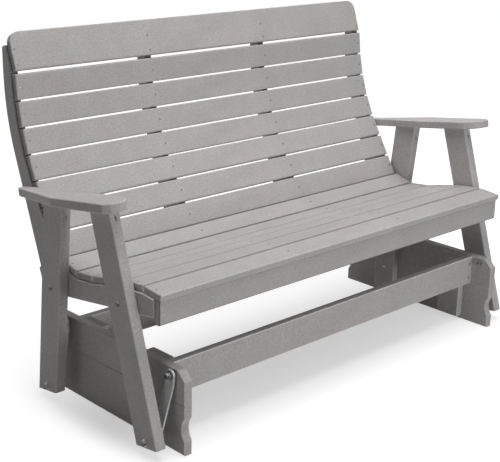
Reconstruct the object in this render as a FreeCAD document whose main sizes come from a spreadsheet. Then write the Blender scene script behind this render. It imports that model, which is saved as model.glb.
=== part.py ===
import FreeCAD, Part
import os
import Sketcher
from collections import namedtuple

# Glider bench in recycled plastic lumber: a slatted seat on board legs, hung from a low
# floor base by four steel links. X runs along the bench, the front faces -Y, Z is up, and
# the origin is on the floor under the middle. Sizes are millimetres and degrees.

SIZES = {
    # lumber
    "slat_width": 74.2,
    "slat_thickness": 20,
    "crest_width": 113,
    "frame_thickness": 27,
    "leg_width": 89,
    "leg_thickness": 34,
    "arm_thickness": 26,
    "edge_radius": 4,
    "crest_corner_radius": 35,
    # across the bench: the outer rails and stiles stand proud of the slat ends
    "seat_slat_length": 1500,
    "rail_proud": 5,
    "back_inset": 5,
    "stile_proud": 5.5,
    "crest_inset": 4,
    "link_gap": 48,
    # seat profile: rear edge of the slat undersides, narrowest gap, each slat's rise towards the front
    "recline": 8.3,
    "seat_rear_y": 119,
    "seat_rear_z": 426.9,
    "seat_slat_gap": 1.9,
    "seat_slope_1": -15,
    "seat_slope_2": 5.7,
    "seat_slope_3": 12.7,
    "seat_slope_4": 11.2,
    "seat_slope_5": 5,
    "seat_slope_6": -5.5,
    "rail_nose_depth": 52,
    "rail_heel_depth": 74,
    "apron_setback": 6,
    "apron_height": 69,
    # back profile: lowest slat's rear edge, lean of the straight part, roll from slat to slat
    "back_foot_y": 134.5,
    "back_foot_z": 434.6,
    "back_slat_gap": 6.3,
    "back_lean": 31,
    "back_roll": 6.1,
    "stile_crest_lap": 78,
    "stile_rear_y": 384,
    "stile_rear_lean": 20.2,
    "stile_rear_radius": 667,
    "stile_bend_z": 947,
    "stile_top_radius": 9,
    # legs and arms: arm places run along the arm from the middle of the bench, its tail from the stile
    "front_leg_lean": 17.2,
    "rear_leg_lean": -5.8,
    "leg_toe": 15,
    "arm_height": 666.6,
    "arm_width": 102,
    "arm_inset": 20,
    "arm_rear_width": 29.5,
    "arm_front": -231,
    "arm_facet": 20,
    "arm_facet_width": 18,
    "arm_swell": 20,
    "arm_kink": 28,
    "arm_neck_reach": 42.3,
    "arm_lap": 38.7,
    "arm_corner_radius": 70,
    "arm_kink_radius": 12,
    # base
    "base_front_y": -384,
    "base_length": 654,
    "base_height": 246,
    "lower_board_height": 147,
    "base_chamfer": 28,
    "scoop_radius": 51,
    "scoop_depth": 15,
    "scoop_z": 76,
    "batten_width": 89,
    "batten_bottom": 14,
    "batten_top_drop": 4,
    "beam_height": 99,
    "front_beam_y": -302,
    "rear_beam_y": 113,
    # swing links
    "pivot_height": 228,
    "front_pivot_y": -335,
    "rear_pivot_y": 155.5,
    "link_length": 186,
    "front_link_tilt": 5.86,
    "rear_link_tilt": 1.33,
    "link_thickness": 6,
    "link_eye_radius": 17,
    "link_tab": 26,
    "bearing_radius": 13,
    "bearing_width": 14,
    # pivot hardware
    "pivot_bolt_radius": 4.75,
    "pivot_head_radius": 8.5,
    "pivot_head_height": 6.5,
    "pivot_nut_height": 8,
    "washer_radius": 11,
    "washer_thickness": 2,
    "bolt_tail": 3,
    "running_clearance": 0.05,
    "rear_running_clearance": 1.2,
    "side_play": 0.3,
    "fit_clearance": 0.05,
    # leg bolts
    "leg_bolt_radius": 4,
    "leg_bolt_head_radius": 9,
    "leg_bolt_crown_radius": 5,
    "leg_bolt_head_height": 4.5,
    "leg_nut_radius": 7.5,
    "leg_nut_height": 6.5,
    "leg_bolt_rise": 33,
    # screws
    "screw_radius": 2.4,
    "screw_head_radius": 4.2,
    "screw_head_height": 3,
    "screw_proud": 0.6,
    "slat_screw_length": 36,
    "slat_screw_inset": 14,
    "base_screw_length": 46,
    "arm_screw_length": 40,
    "foot_screw_length": 106,
    "crest_screw_low": 16,
    "crest_screw_high": 62,
    "beam_screw_margin": 25,
    "pocket_angle": 30,
    "front_pocket_drop": 28,
    "rear_pocket_drop": 50,
    "pocket_depth": 12,
}

SIDES = {"left": -1, "right": 1}
ENDS = ("front", "rear")
SEAT_SLATS = range(1, 7)
BACK_SLATS = range(8)
# How often the back has rolled forward by each slat, from the bottom: the crest rolls back.
BACK_TURNS = (0, 0, 0, 1, 2, 3, 4, 2)
CREST = BACK_SLATS[-1]
FRAMES = ("left", "mid_left", "mid_right", "right")
FOOT_SCREW_PLACES = (0.26, 0.7)
ARM_SCREW_PLACES = (0.22, 0.71)
BATTEN_SCREW_PLACES = (0.12, 0.42, 0.7, 0.92)
# How near two places count as one, and how far a hole's cutter runs past the faces it opens.
NEAR = 0.001
OVERRUN = 1

Seat = namedtuple("Seat", "point out")
Vector = FreeCAD.Vector

doc = FreeCAD.newDocument("GliderBench")
nodes = []


def add_sheet(name, cells):
    """Spreadsheet with a row for each cell: its alias, then its number or formula."""
    sheet = doc.addObject("Spreadsheet::Sheet", name)
    for row, (alias, content) in enumerate(cells.items(), start=1):
        sheet.set(f"A{row}", alias)
        sheet.set(f"B{row}", str(content))
        sheet.setAlias(f"B{row}", alias)
    doc.recompute()
    return sheet


def meet(name, line, line_slope, y, z, slope):
    """Place where the line z = line - line_slope * y crosses the one that leans through (y, z)."""
    return {
        f"{name}_z": f"=({line} - {line_slope} * ({y} - {slope} * {z})) / (1 + {line_slope} * {slope})",
        f"{name}_y": f"={y} + ({name}_z - {z}) * {slope}",
    }


def pivot_cells():
    """Lower pivots: the front links lean forward at the top, the rear ones rearward."""
    cells = {}
    for end, way in (("front", "+"), ("rear", "-")):
        tilt = f"Sizes.{end}_link_tilt"
        cells[f"{end}_low_y"] = f"=Sizes.{end}_pivot_y {way} Sizes.link_length * sin({tilt})"
        cells[f"{end}_low_z"] = f"=Sizes.pivot_height - Sizes.link_length * cos({tilt})"
    return cells


def seat_cells():
    """Chain of seat slat undersides from the rear, wider where tops close in, then nose, apron, rail."""
    cells = {"seat_y_0": "=Sizes.seat_rear_y", "seat_z_0": "=Sizes.seat_rear_z"}
    for slat in SEAT_SLATS[:-1]:
        slope = f"Sizes.seat_slope_{slat}"
        closing = f"2 * Sizes.slat_thickness * tan((Sizes.seat_slope_{slat + 1} - {slope}) / 2)"
        pitch = f"seat_pitch_{slat}"
        cells[pitch] = f"=Sizes.slat_width + Sizes.seat_slat_gap + max(0; {closing})"
        cells[f"seat_y_{slat}"] = f"=seat_y_{slat - 1} - {pitch} * cos({slope})"
        cells[f"seat_z_{slat}"] = f"=seat_z_{slat - 1} + {pitch} * sin({slope})"
    nose_drop = "tan(Sizes.seat_slope_6)"
    cells.update({
        "nose_y": "=seat_y_5 - Sizes.slat_width * cos(Sizes.seat_slope_6)",
        "apron_y": "=nose_y + Sizes.apron_setback",
        "rail_front_y": "=apron_y + Sizes.slat_thickness",
        "rail_top_z": f"=seat_z_5 + (seat_y_5 - rail_front_y) * {nose_drop}",
        "apron_top_z": f"=min(rail_top_z; seat_z_5 + (seat_y_5 - apron_y) * {nose_drop})",
        "rail_bottom_z": "=rail_top_z - Sizes.rail_nose_depth",
        "recline_slope": "=tan(Sizes.recline)",
        "rail_line": "=rail_bottom_z + recline_slope * rail_front_y",
        "heel_line": "=rail_line + Sizes.rail_heel_depth / cos(Sizes.recline)",
        "bolt_line": "=rail_line + Sizes.leg_bolt_rise / cos(Sizes.recline)",
        "arm_line": "=Sizes.arm_height - Sizes.arm_thickness / cos(Sizes.recline)",
        "shelf_slope": "=tan(Sizes.seat_slope_1)",
        "shelf_line": "=seat_z_0 + shelf_slope * seat_y_0",
    })
    return cells


def back_cells():
    """Chain of back slat rear edges from the bottom, then the stile's rear bend and foot."""
    cells = {"back_y_0": "=Sizes.back_foot_y", "back_z_0": "=Sizes.back_foot_z"}
    pitch = "(Sizes.slat_width + Sizes.back_slat_gap)"
    for slat in BACK_SLATS:
        cells[f"back_slope_{slat}"] = f"=Sizes.back_lean - {BACK_TURNS[slat]} * Sizes.back_roll"
        cells[f"back_y_{slat + 1}"] = f"=back_y_{slat} + {pitch} * sin(back_slope_{slat})"
        cells[f"back_z_{slat + 1}"] = f"=back_z_{slat} + {pitch} * cos(back_slope_{slat})"
    cells.update({
        "stile_top_y": f"=back_y_{CREST} + Sizes.stile_crest_lap * sin(back_slope_{CREST})",
        "stile_top_z": f"=back_z_{CREST} + Sizes.stile_crest_lap * cos(back_slope_{CREST})",
        "bend_y": "=Sizes.stile_rear_y - Sizes.stile_rear_radius * (1 - cos(Sizes.stile_rear_lean))",
        "bend_z": "=Sizes.stile_bend_z - Sizes.stile_rear_radius * sin(Sizes.stile_rear_lean)",
        "front_slope": "=tan(Sizes.back_lean)",
        "rear_slope": "=tan(Sizes.stile_rear_lean)",
    })
    cells.update(meet("shelf", "shelf_line", "shelf_slope", "back_y_0", "back_z_0", "front_slope"))
    cells.update(meet("foot_front", "heel_line", "recline_slope", "back_y_0", "back_z_0", "front_slope"))
    cells.update(meet("foot_rear", "heel_line", "recline_slope", "bend_y", "bend_z", "rear_slope"))
    cells.update(meet("heel", "rail_line", "recline_slope", "bend_y", "bend_z", "rear_slope"))
    return cells


def arm_cells():
    """Tail of the arms: where the middle of the arm's edge meets the front of the stile, and its lap."""
    cells = {"arm_middle_line": "=Sizes.arm_height - Sizes.arm_thickness / 2 / cos(Sizes.recline)"}
    stile_front = ("back_y_0", "back_z_0", "front_slope")
    cells.update(meet("arm_lap_start", "arm_middle_line", "recline_slope", *stile_front))
    cells.update({
        "arm_stile": "=arm_lap_start_y / cos(Sizes.recline) - Sizes.arm_thickness / 2 * recline_slope",
        "arm_neck": "=arm_stile - Sizes.arm_neck_reach",
        "arm_rear": "=arm_stile + Sizes.arm_lap",
    })
    return cells


def leg_cells():
    """Corners of the legs, cut to the arm above and to the recline at the toe, and their bolts."""
    cells = {}
    for end in ENDS:
        lean = f"{end}_leg_slope"
        middle = (f"{end}_low_y", f"{end}_low_z", lean)
        cells[lean] = f"=tan(Sizes.{end}_leg_lean)"
        cells[f"{end}_toe_line"] = (
            f"={end}_low_z - Sizes.leg_toe / cos(Sizes.recline) + recline_slope * {end}_low_y")
        cells.update(meet(f"{end}_bolt", "bolt_line", "recline_slope", *middle))
        cells.update(meet(f"{end}_head", "arm_line", "recline_slope", *middle))
        for edge, way in (("fore", "-"), ("aft", "+")):
            start = f"{end}_{edge}_start"
            cells[start] = f"={end}_low_y {way} Sizes.leg_width / 2 / cos(Sizes.{end}_leg_lean)"
            place = (start, f"{end}_low_z", lean)
            cells.update(meet(f"{end}_{edge}_toe", f"{end}_toe_line", "recline_slope", *place))
            cells.update(meet(f"{end}_{edge}_top", "arm_line", "recline_slope", *place))
    return cells


def across_cells():
    """Left face of each rail, stile, leg and base board, and the stack of a pivot."""
    stack = "2 * Sizes.washer_thickness + 2 * Sizes.side_play + Sizes.bearing_width"
    cells = {
        "half_seat": "=Sizes.seat_slat_length / 2 + Sizes.rail_proud",
        "half_slat": "=Sizes.seat_slat_length / 2",
        "half_back": "=half_slat - Sizes.back_inset",
        "half_crest": "=half_back - Sizes.crest_inset",
        "half_stile": "=half_back + Sizes.stile_proud",
        "half_base": "=half_seat - Sizes.link_gap",
        "frame_spacing": f"=(2 * half_seat - Sizes.frame_thickness) / {len(FRAMES) - 1}",
        "pivot_stack": f"={stack}",
        "link_upper_x": "=half_base + pivot_stack / 2",
        "link_lower_x": "=half_seat - pivot_stack / 2",
        "leg_left_x": "=-half_seat - Sizes.leg_thickness",
        "leg_right_x": "=half_seat",
        "panel_left_x": "=-half_base",
        "panel_right_x": "=half_base - Sizes.frame_thickness",
        "batten_left_x": "=-half_base + Sizes.frame_thickness",
        "batten_right_x": "=half_base - 2 * Sizes.frame_thickness",
        "beam_length": "=2 * (half_base - Sizes.frame_thickness)",
    }
    for piece, half in (("rail", "half_seat"), ("stile", "half_stile")):
        cells[f"{piece}_left_x"] = f"=-{half}"
        cells[f"{piece}_mid_left_x"] = "=-(frame_spacing + Sizes.frame_thickness) / 2"
        cells[f"{piece}_mid_right_x"] = "=(frame_spacing - Sizes.frame_thickness) / 2"
        cells[f"{piece}_right_x"] = f"={half} - Sizes.frame_thickness"
    return cells


def base_cells():
    """Edges of the base panels, beams and battens."""
    return {
        "base_rear_y": "=Sizes.base_front_y + Sizes.base_length",
        "beam_top_z": "=Sizes.base_height - Sizes.batten_top_drop",
        "beam_bottom_z": "=beam_top_z - Sizes.beam_height",
        "front_batten_y": "=Sizes.front_beam_y + Sizes.frame_thickness",
        "rear_batten_y": "=Sizes.rear_beam_y - Sizes.batten_width",
    }


sizes = add_sheet("Sizes", SIZES)
layout = add_sheet("Layout", {
    **pivot_cells(), **seat_cells(), **back_cells(), **arm_cells(), **leg_cells(), **across_cells(),
    **base_cells(),
})


def number(expression):
    """Value of an expression over the two sheets."""
    return float(layout.evalExpression(expression))


def place(name):
    """Number of a cell of either sheet."""
    return float(getattr(sizes if name in SIZES else layout, name))


def outline(body, role, corners, arcs):
    """Closed counter-clockwise sketch whose corners are pairs of expressions.

    arcs gives the radius of each side that is round, with its centre on the inner side.
    """
    plane = next(item for item in body.Origin.OriginFeatures if item.Role == role)
    sketch = body.newObject("Sketcher::SketchObject", f"{body.Name}_outline")
    sketch.AttachmentSupport = (plane, [""])
    sketch.MapMode = "FlatFace"
    points = [Vector(number(across), number(up), 0) for across, up in corners]
    count = len(points)
    sides = []
    bounds = []
    for side, start in enumerate(points):
        end = points[(side + 1) % count]
        bounds.append(Sketcher.Constraint("Coincident", side, 2, (side + 1) % count, 1))
        if side in arcs:
            chord = end - start
            half = chord.Length / 2
            radius = number(arcs[side])
            rise = radius - (radius ** 2 - half ** 2) ** 0.5
            outward = Vector(chord.y, -chord.x, 0).normalize()
            sides.append(Part.Arc(start, (start + end) / 2 + outward * rise, end))
        else:
            sides.append(Part.LineSegment(start, end))
    sketch.addGeometry(sides, False)
    bound = []
    for side, (corner, point) in enumerate(zip(corners, points)):
        bounds.append(Sketcher.Constraint("DistanceX", -1, 1, side, 1, point.x))
        bound.append((len(bounds) - 1, corner[0]))
        bounds.append(Sketcher.Constraint("DistanceY", -1, 1, side, 1, point.y))
        bound.append((len(bounds) - 1, corner[1]))
    for side, radius in arcs.items():
        bounds.append(Sketcher.Constraint("Radius", side, number(radius)))
        bound.append((len(bounds) - 1, radius))
    sketch.addConstraint(bounds)
    for index, expression in bound:
        sketch.setExpression(f"Constraints[{index}]", expression)
    return sketch


def board(label, role, corners, depth, at, turn="0", arcs=None, both_ways=False):
    """Board padded from an outline, turned about X and set at a place; all are expressions."""
    body = doc.addObject("PartDesign::Body", label)
    body.Label = label
    pad = body.newObject("PartDesign::Pad", f"{label}_pad")
    pad.Profile = outline(body, role, corners, arcs or {})
    pad.setExpression("Length", depth)
    if both_ways:
        pad.SideType = "Symmetric"
    body.Placement = FreeCAD.Placement(Vector(), FreeCAD.Rotation(Vector(1, 0, 0), 1))
    for axis, expression in zip("xyz", at):
        body.setExpression(f"Placement.Base.{axis}", expression)
    body.setExpression("Placement.Rotation.Angle", f"({turn}) * 1 deg")
    doc.recompute()
    return body


def ease(body, chosen, radius="Sizes.edge_radius"):
    """Round the edges of a board that the function chosen picks, in the board's own frame."""
    base = body.Tip
    names = [f"Edge{i}" for i, edge in enumerate(base.Shape.Edges, start=1) if chosen(edge)]
    if not names:
        raise RuntimeError(f"{body.Label}: no edge to round")
    fillet = body.newObject("PartDesign::Fillet", f"{body.Name}_ease")
    fillet.Base = (base, names)
    fillet.setExpression("Radius", radius)
    doc.recompute()
    return body


def runs_along(axis):
    """Chooser of the straight edges that run along an axis."""
    def chosen(edge):
        if not isinstance(edge.Curve, Part.Line):
            return False
        return edge.Curve.Direction.cross(axis).Length < NEAR
    return chosen


def passes_through(axis, points):
    """Chooser of the straight edges along an axis that pass through one of the points."""
    along = runs_along(axis)

    def chosen(edge):
        start = edge.Vertexes[0].Point
        return along(edge) and any(start.sub(point).cross(axis).Length < NEAR for point in points)
    return chosen


def lies_on(face_axis, levels):
    """Chooser of the edges that lie in planes square to an axis, at the given levels."""
    def chosen(edge):
        box = edge.BoundBox
        low = Vector(box.XMin, box.YMin, box.ZMin).dot(face_axis)
        high = Vector(box.XMax, box.YMax, box.ZMax).dot(face_axis)
        return any(abs(low - level) < NEAR and abs(high - level) < NEAR for level in levels)
    return chosen


def joins(points):
    """Chooser of the edges, seen from the side, that run from one of the points to another."""
    def chosen(edge):
        ends = [Vector(0, vertex.Y, vertex.Z) for vertex in edge.Vertexes]
        met = {index for end in ends for index, point in enumerate(points) if end.isEqual(point, NEAR)}
        return len(met) == len(ends)
    return chosen


def longer_than(length, chosen):
    """Chooser that also asks for a least length."""
    return lambda edge: edge.Length > length and chosen(edge)


ALONG_X = Vector(1, 0, 0)
ALONG_Y = Vector(0, 1, 0)
ALONG_Z = Vector(0, 0, 1)


def finish(label, blank, cutters=()):
    """Node of a piece: the blank alone, or the blank with its holes cut."""
    if cutters:
        blank.Label = f"{label}_blank"
        holes = doc.addObject("Part::Feature", f"{label}_holes")
        holes.Shape = Part.makeCompound(list(cutters))
        piece = doc.addObject("Part::Cut", label)
        piece.Base = blank
        piece.Tool = holes
        doc.recompute()
        if piece.Shape.Volume >= blank.Shape.Volume:
            raise RuntimeError(f"{label}: its holes cut nothing")
    else:
        piece = blank
    piece.Label = label
    nodes.append(piece)


def bore(seat, radius, depth, above=OVERRUN):
    """Cutter of a straight hole round a seat's axis, from just above the seat to a depth."""
    return Part.makeCylinder(radius, depth + above, seat.point - seat.out * depth, seat.out)


def screw_bore(seat, length):
    """Cutter of a screw's hole with the recess of its head."""
    clearance = place("fit_clearance")
    recess = place("screw_head_height") - place("screw_proud")
    shank = bore(seat, place("screw_radius") + clearance, length + clearance, 0)
    head = bore(seat, place("screw_head_radius") + clearance, recess)
    return shank.fuse(head)


def primitive(kind, name, bindings, z="0"):
    """Part primitive on the Z axis with its sizes bound to expressions."""
    piece = doc.addObject(f"Part::{kind}", name)
    for key, expression in bindings.items():
        piece.setExpression(key, expression)
    piece.setExpression("Placement.Base.z", z)
    return piece


def cylinder(name, radius, height, z="0"):
    """Cylinder on the Z axis that starts at a height."""
    return primitive("Cylinder", name, {"Radius": radius, "Height": height}, z)


def hexagon(name, radius, height):
    """Six-sided prism on the Z axis."""
    piece = primitive("Prism", name, {"Circumradius": radius, "Height": height})
    piece.Polygon = 6
    return piece


def combine(kind, name, base, tool):
    """Boolean of two pieces."""
    piece = doc.addObject(f"Part::{kind}", name)
    piece.Base = base
    piece.Tool = tool
    doc.recompute()
    return piece


def screw(name, length):
    """Screw with its recessed head: the seat is the face that the screw goes in."""
    recess = "(Sizes.screw_head_height - Sizes.screw_proud)"
    head = cylinder(f"{name}_head", "Sizes.screw_head_radius", "Sizes.screw_head_height", f"-{recess}")
    shank = cylinder(f"{name}_shank", "Sizes.screw_radius", length, f"-({length})")
    return combine("Fuse", name, head, shank)


def washer(name):
    """Flat washer on its seat."""
    disc = cylinder(f"{name}_disc", "Sizes.washer_radius", "Sizes.washer_thickness")
    hole = cylinder(f"{name}_hole", "Sizes.pivot_bolt_radius + Sizes.fit_clearance",
                    "Sizes.washer_thickness")
    return combine("Cut", name, disc, hole)


def nut(name, radius, height, bolt_radius):
    """Hexagon nut on its seat."""
    block = hexagon(f"{name}_block", radius, height)
    hole = cylinder(f"{name}_hole", f"{bolt_radius} + Sizes.fit_clearance", height)
    return combine("Cut", name, block, hole)


def pivot_bolt(name, length):
    """Hexagon-head bolt whose head stands on its seat."""
    head = hexagon(f"{name}_head", "Sizes.pivot_head_radius", "Sizes.pivot_head_height")
    shank = cylinder(f"{name}_shank", "Sizes.pivot_bolt_radius", length, f"-({length})")
    return combine("Fuse", name, head, shank)


def leg_bolt(name, length):
    """Carriage bolt with a tapered dome on its seat."""
    dome = primitive("Cone", f"{name}_dome", {
        "Radius1": "Sizes.leg_bolt_head_radius",
        "Radius2": "Sizes.leg_bolt_crown_radius",
        "Height": "Sizes.leg_bolt_head_height",
    })
    shank = cylinder(f"{name}_shank", "Sizes.leg_bolt_radius", length, f"-({length})")
    return combine("Fuse", name, dome, shank)


def group(label, pattern, seats):
    """Node of equal fasteners, one on each seat."""
    copies = []
    for seat in seats:
        copy = pattern.Shape.copy()
        copy.Placement = FreeCAD.Placement(seat.point, FreeCAD.Rotation(ALONG_Z, seat.out))
        copies.append(copy)
    piece = doc.addObject("Part::Feature", label)
    piece.Shape = Part.makeCompound(copies)
    piece.Label = label
    nodes.append(piece)


def turned(y, z, angle):
    """Vector (y, z) of the side view turned so that its top leans rearward by an angle."""
    rotation = FreeCAD.Rotation(ALONG_X, -angle)
    return rotation.multVec(Vector(0, y, z))


def screw_line(frame, half):
    """Place across the bench of a frame's screws: its middle, or set in from the slat ends if outer."""
    if frame in SIDES:
        return SIDES[frame] * (place(half) - place("slat_screw_inset"))
    return place(f"rail_{frame}_x") + place("frame_thickness") / 2


def back_seats(slat, frame):
    """Screw seats on the front of a back slat where it crosses a stile."""
    lean = place(f"back_slope_{slat}")
    root = Vector(screw_line(frame, "half_back"), place(f"back_y_{slat}"), place(f"back_z_{slat}"))
    heights = [place("slat_width") / 2]
    if slat == CREST:
        heights = [place("crest_screw_low"), place("crest_screw_high")]
    return [
        Seat(root + turned(-place("slat_thickness"), height, lean), turned(-1, 0, lean))
        for height in heights
    ]


def seat_seat(slat, frame):
    """Screw seat on top of a seat slat where it crosses a rail."""
    rise = place(f"seat_slope_{slat}")
    root = Vector(screw_line(frame, "half_slat"), place(f"seat_y_{slat - 1}"), place(f"seat_z_{slat - 1}"))
    top = turned(-place("slat_width") / 2, place("slat_thickness"), rise)
    return Seat(root + top, turned(0, 1, rise))


def apron_seat(frame):
    """Screw seat on the front of the apron, level with the middle of a rail's nose."""
    height = place("rail_bottom_z") + place("rail_nose_depth") / 2
    return Seat(Vector(screw_line(frame, "half_slat"), place("apron_y"), height), -ALONG_Y)


def foot_seats(frame):
    """Screw seats under a rail's heel, below the foot of its stile."""
    front = Vector(screw_line(frame, "half_slat"), place("foot_front_y"), place("foot_front_z"))
    rear = Vector(screw_line(frame, "half_slat"), place("foot_rear_y"), place("foot_rear_z"))
    down = turned(0, -1, place("recline"))
    return [
        Seat(front + (rear - front) * share + down * place("rail_heel_depth"), down)
        for share in FOOT_SCREW_PLACES
    ]


def arm_seats(side):
    """Screw seats on the inner face of an outer stile, level with the middle of the arm's edge."""
    inner = SIDES[side] * (place("half_stile") - place("frame_thickness"))
    seats = []
    for share in ARM_SCREW_PLACES:
        along = place("arm_stile") + share * place("arm_lap")
        point = Vector(inner, 0, place("arm_line"))
        point += turned(along, place("arm_thickness") / 2, place("recline"))
        seats.append(Seat(point, ALONG_X * -SIDES[side]))
    return seats


def pocket_seat(end, side):
    """Bottom of the pocket in the front edge of a leg, from which a screw rises into the arm."""
    lean = place(f"{end}_leg_lean")
    middle = place(f"leg_{side}_x") + place("leg_thickness") / 2
    mouth = Vector(middle, place(f"{end}_fore_top_y"), place(f"{end}_fore_top_z"))
    mouth += turned(0, -place(f"{end}_pocket_drop"), lean)
    out = turned(0, -1, lean + place("pocket_angle"))
    return Seat(mouth - out * place("pocket_depth"), out)


def leg_seat(end, side, hole):
    """Seat of a bolt on the outer face of a leg: hole is the bolt or the lower pivot."""
    outer = SIDES[side] * (place("half_seat") + place("leg_thickness"))
    point = Vector(outer, place(f"{end}_{hole}_y"), place(f"{end}_{hole}_z"))
    return Seat(point, ALONG_X * SIDES[side])


def upper_seat(end, side):
    """Seat of an upper pivot on the outer face of a base panel."""
    point = Vector(SIDES[side] * place("half_base"), place(f"{end}_pivot_y"), place("pivot_height"))
    return Seat(point, ALONG_X * SIDES[side])


def moved(seat, distance, flipped=False):
    """Seat shifted along its own axis, and turned to face the other way where flipped."""
    return Seat(seat.point + seat.out * distance, -seat.out if flipped else seat.out)


def beam_seats(end, side):
    """Screw seats on the outer face of a cross beam, over the edge of a batten."""
    face = place(f"{end}_beam_y")
    out = -ALONG_Y
    if end == "rear":
        face += place("frame_thickness")
        out = ALONG_Y
    middle = place(f"batten_{side}_x") + place("frame_thickness") / 2
    margin = place("beam_screw_margin")
    levels = (place("beam_bottom_z") + margin, place("beam_top_z") - margin)
    return [Seat(Vector(middle, face, level), out) for level in levels]


def batten_seats(end, side):
    """Screw seats on the inner face of a batten, two over each board of the panel."""
    inner = SIDES[side] * (place("half_base") - 2 * place("frame_thickness"))
    middle = place(f"{end}_batten_y") + place("batten_width") / 2
    height = place("beam_top_z") - place("batten_bottom")
    return [
        Seat(Vector(inner, middle, place("batten_bottom") + share * height), ALONG_X * -SIDES[side])
        for share in BATTEN_SCREW_PLACES
    ]


def pivot_bore(seat, depth):
    """Cutter of a pivot bolt's hole."""
    return bore(seat, place("pivot_bolt_radius") + place("fit_clearance"), depth)


def make_base():
    """Two-board end panels, their battens and the two cross beams."""
    thickness = "Sizes.frame_thickness"
    front = "Sizes.base_front_y"
    rear = "Layout.base_rear_y"
    seam = "Sizes.lower_board_height"
    top = "Sizes.base_height"
    cut = "Sizes.base_chamfer"
    lower = [(front, "0"), (rear, "0"), (rear, seam), (front, seam)]
    upper = [
        (front, seam), (rear, seam), (rear, f"{top} - {cut}"),
        (f"{rear} - {cut}", top), (f"{front} + {cut}", top), (front, f"{top} - {cut}"),
    ]
    length = place("base_screw_length")
    scoop = place("scoop_radius")
    outside = scoop - place("scoop_depth")
    faces = (0, place("frame_thickness"))
    for side in SIDES:
        at = (f"Layout.panel_{side}_x", "0", "0")
        screws = [screw_bore(seat, length) for end in ENDS for seat in batten_seats(end, side)]
        scoops = [
            Part.makeCylinder(scoop, 2 * place("half_base"),
                              Vector(-place("half_base"), edge, place("scoop_z")), ALONG_X)
            for edge in (place("base_front_y") - outside, place("base_rear_y") + outside)
        ]
        panel = board(f"base_{side}_lower_board", "YZ_Plane", lower, thickness, at)
        ease(panel, lies_on(ALONG_X, faces))
        finish(panel.Label, panel, scoops + screws)
        panel = board(f"base_{side}_upper_board", "YZ_Plane", upper, thickness, at)
        ease(panel, lies_on(ALONG_X, faces))
        pivots = [pivot_bore(upper_seat(end, side), place("frame_thickness") + OVERRUN) for end in ENDS]
        finish(panel.Label, panel, pivots + screws)

    low = "Sizes.batten_bottom"
    high = "Layout.beam_top_z"
    for end in ENDS:
        near = f"Layout.{end}_batten_y"
        far = f"{near} + Sizes.batten_width"
        corners = [(near, low), (far, low), (far, high), (near, high)]
        for side in SIDES:
            batten = board(f"{end}_{side}_batten", "YZ_Plane", corners, thickness,
                           (f"Layout.batten_{side}_x", "0", "0"))
            ease(batten, runs_along(ALONG_Z))
            seats = beam_seats(end, side) + batten_seats(end, side)
            finish(batten.Label, batten, [screw_bore(seat, length) for seat in seats])
        near = f"Sizes.{end}_beam_y"
        far = f"{near} + Sizes.frame_thickness"
        under = "Layout.beam_bottom_z"
        corners = [(near, under), (far, under), (far, high), (near, high)]
        beam = board(f"{end}_cross_beam", "YZ_Plane", corners, "Layout.beam_length",
                     ("-Layout.beam_length / 2", "0", "0"))
        ease(beam, runs_along(ALONG_X))
        seats = [seat for side in SIDES for seat in beam_seats(end, side)]
        finish(beam.Label, beam, [screw_bore(seat, length) for seat in seats])

    seats = []
    for end in ENDS:
        for side in SIDES:
            seats += beam_seats(end, side) + batten_seats(end, side)
    group("base_screws", screw("base_screw", "Sizes.base_screw_length"), seats)


def make_upper_pivots():
    """Bolts through the base panels, with a washer on each side of the bearing and under the nut."""
    stack = place("pivot_stack")
    panel = place("frame_thickness")
    thin = place("washer_thickness")
    length = ("Layout.pivot_stack + Sizes.frame_thickness + Sizes.washer_thickness"
              " + Sizes.pivot_nut_height + Sizes.bolt_tail")
    seats = [upper_seat(end, side) for end in ENDS for side in SIDES]
    washers = []
    for seat in seats:
        washers += [seat, moved(seat, stack - thin), moved(seat, -panel, flipped=True)]
    group("upper_pivot_bolts", pivot_bolt("upper_bolt", length), [moved(seat, stack) for seat in seats])
    group("upper_pivot_washers", washer("upper_washer"), washers)
    group("upper_pivot_nuts",
          nut("upper_nut", "Sizes.pivot_head_radius", "Sizes.pivot_nut_height", "Sizes.pivot_bolt_radius"),
          [moved(seat, -panel - thin, flipped=True) for seat in seats])


def make_lower_pivots():
    """Bolts through the feet of the legs, with the bearing between two washers inside."""
    stack = place("pivot_stack")
    leg = place("leg_thickness")
    thin = place("washer_thickness")
    length = ("Layout.pivot_stack + Sizes.leg_thickness + Sizes.washer_thickness"
              " + Sizes.pivot_nut_height + Sizes.bolt_tail")
    seats = [leg_seat(end, side, "low") for end in ENDS for side in SIDES]
    washers = []
    for seat in seats:
        washers += [seat, moved(seat, -leg, flipped=True), moved(seat, thin - leg - stack, flipped=True)]
    group("lower_pivot_bolts", pivot_bolt("lower_bolt", length), [moved(seat, thin) for seat in seats])
    group("lower_pivot_washers", washer("lower_washer"), washers)
    group("lower_pivot_nuts",
          nut("lower_nut", "Sizes.pivot_head_radius", "Sizes.pivot_nut_height", "Sizes.pivot_bolt_radius"),
          [moved(seat, -leg - stack, flipped=True) for seat in seats])


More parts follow.
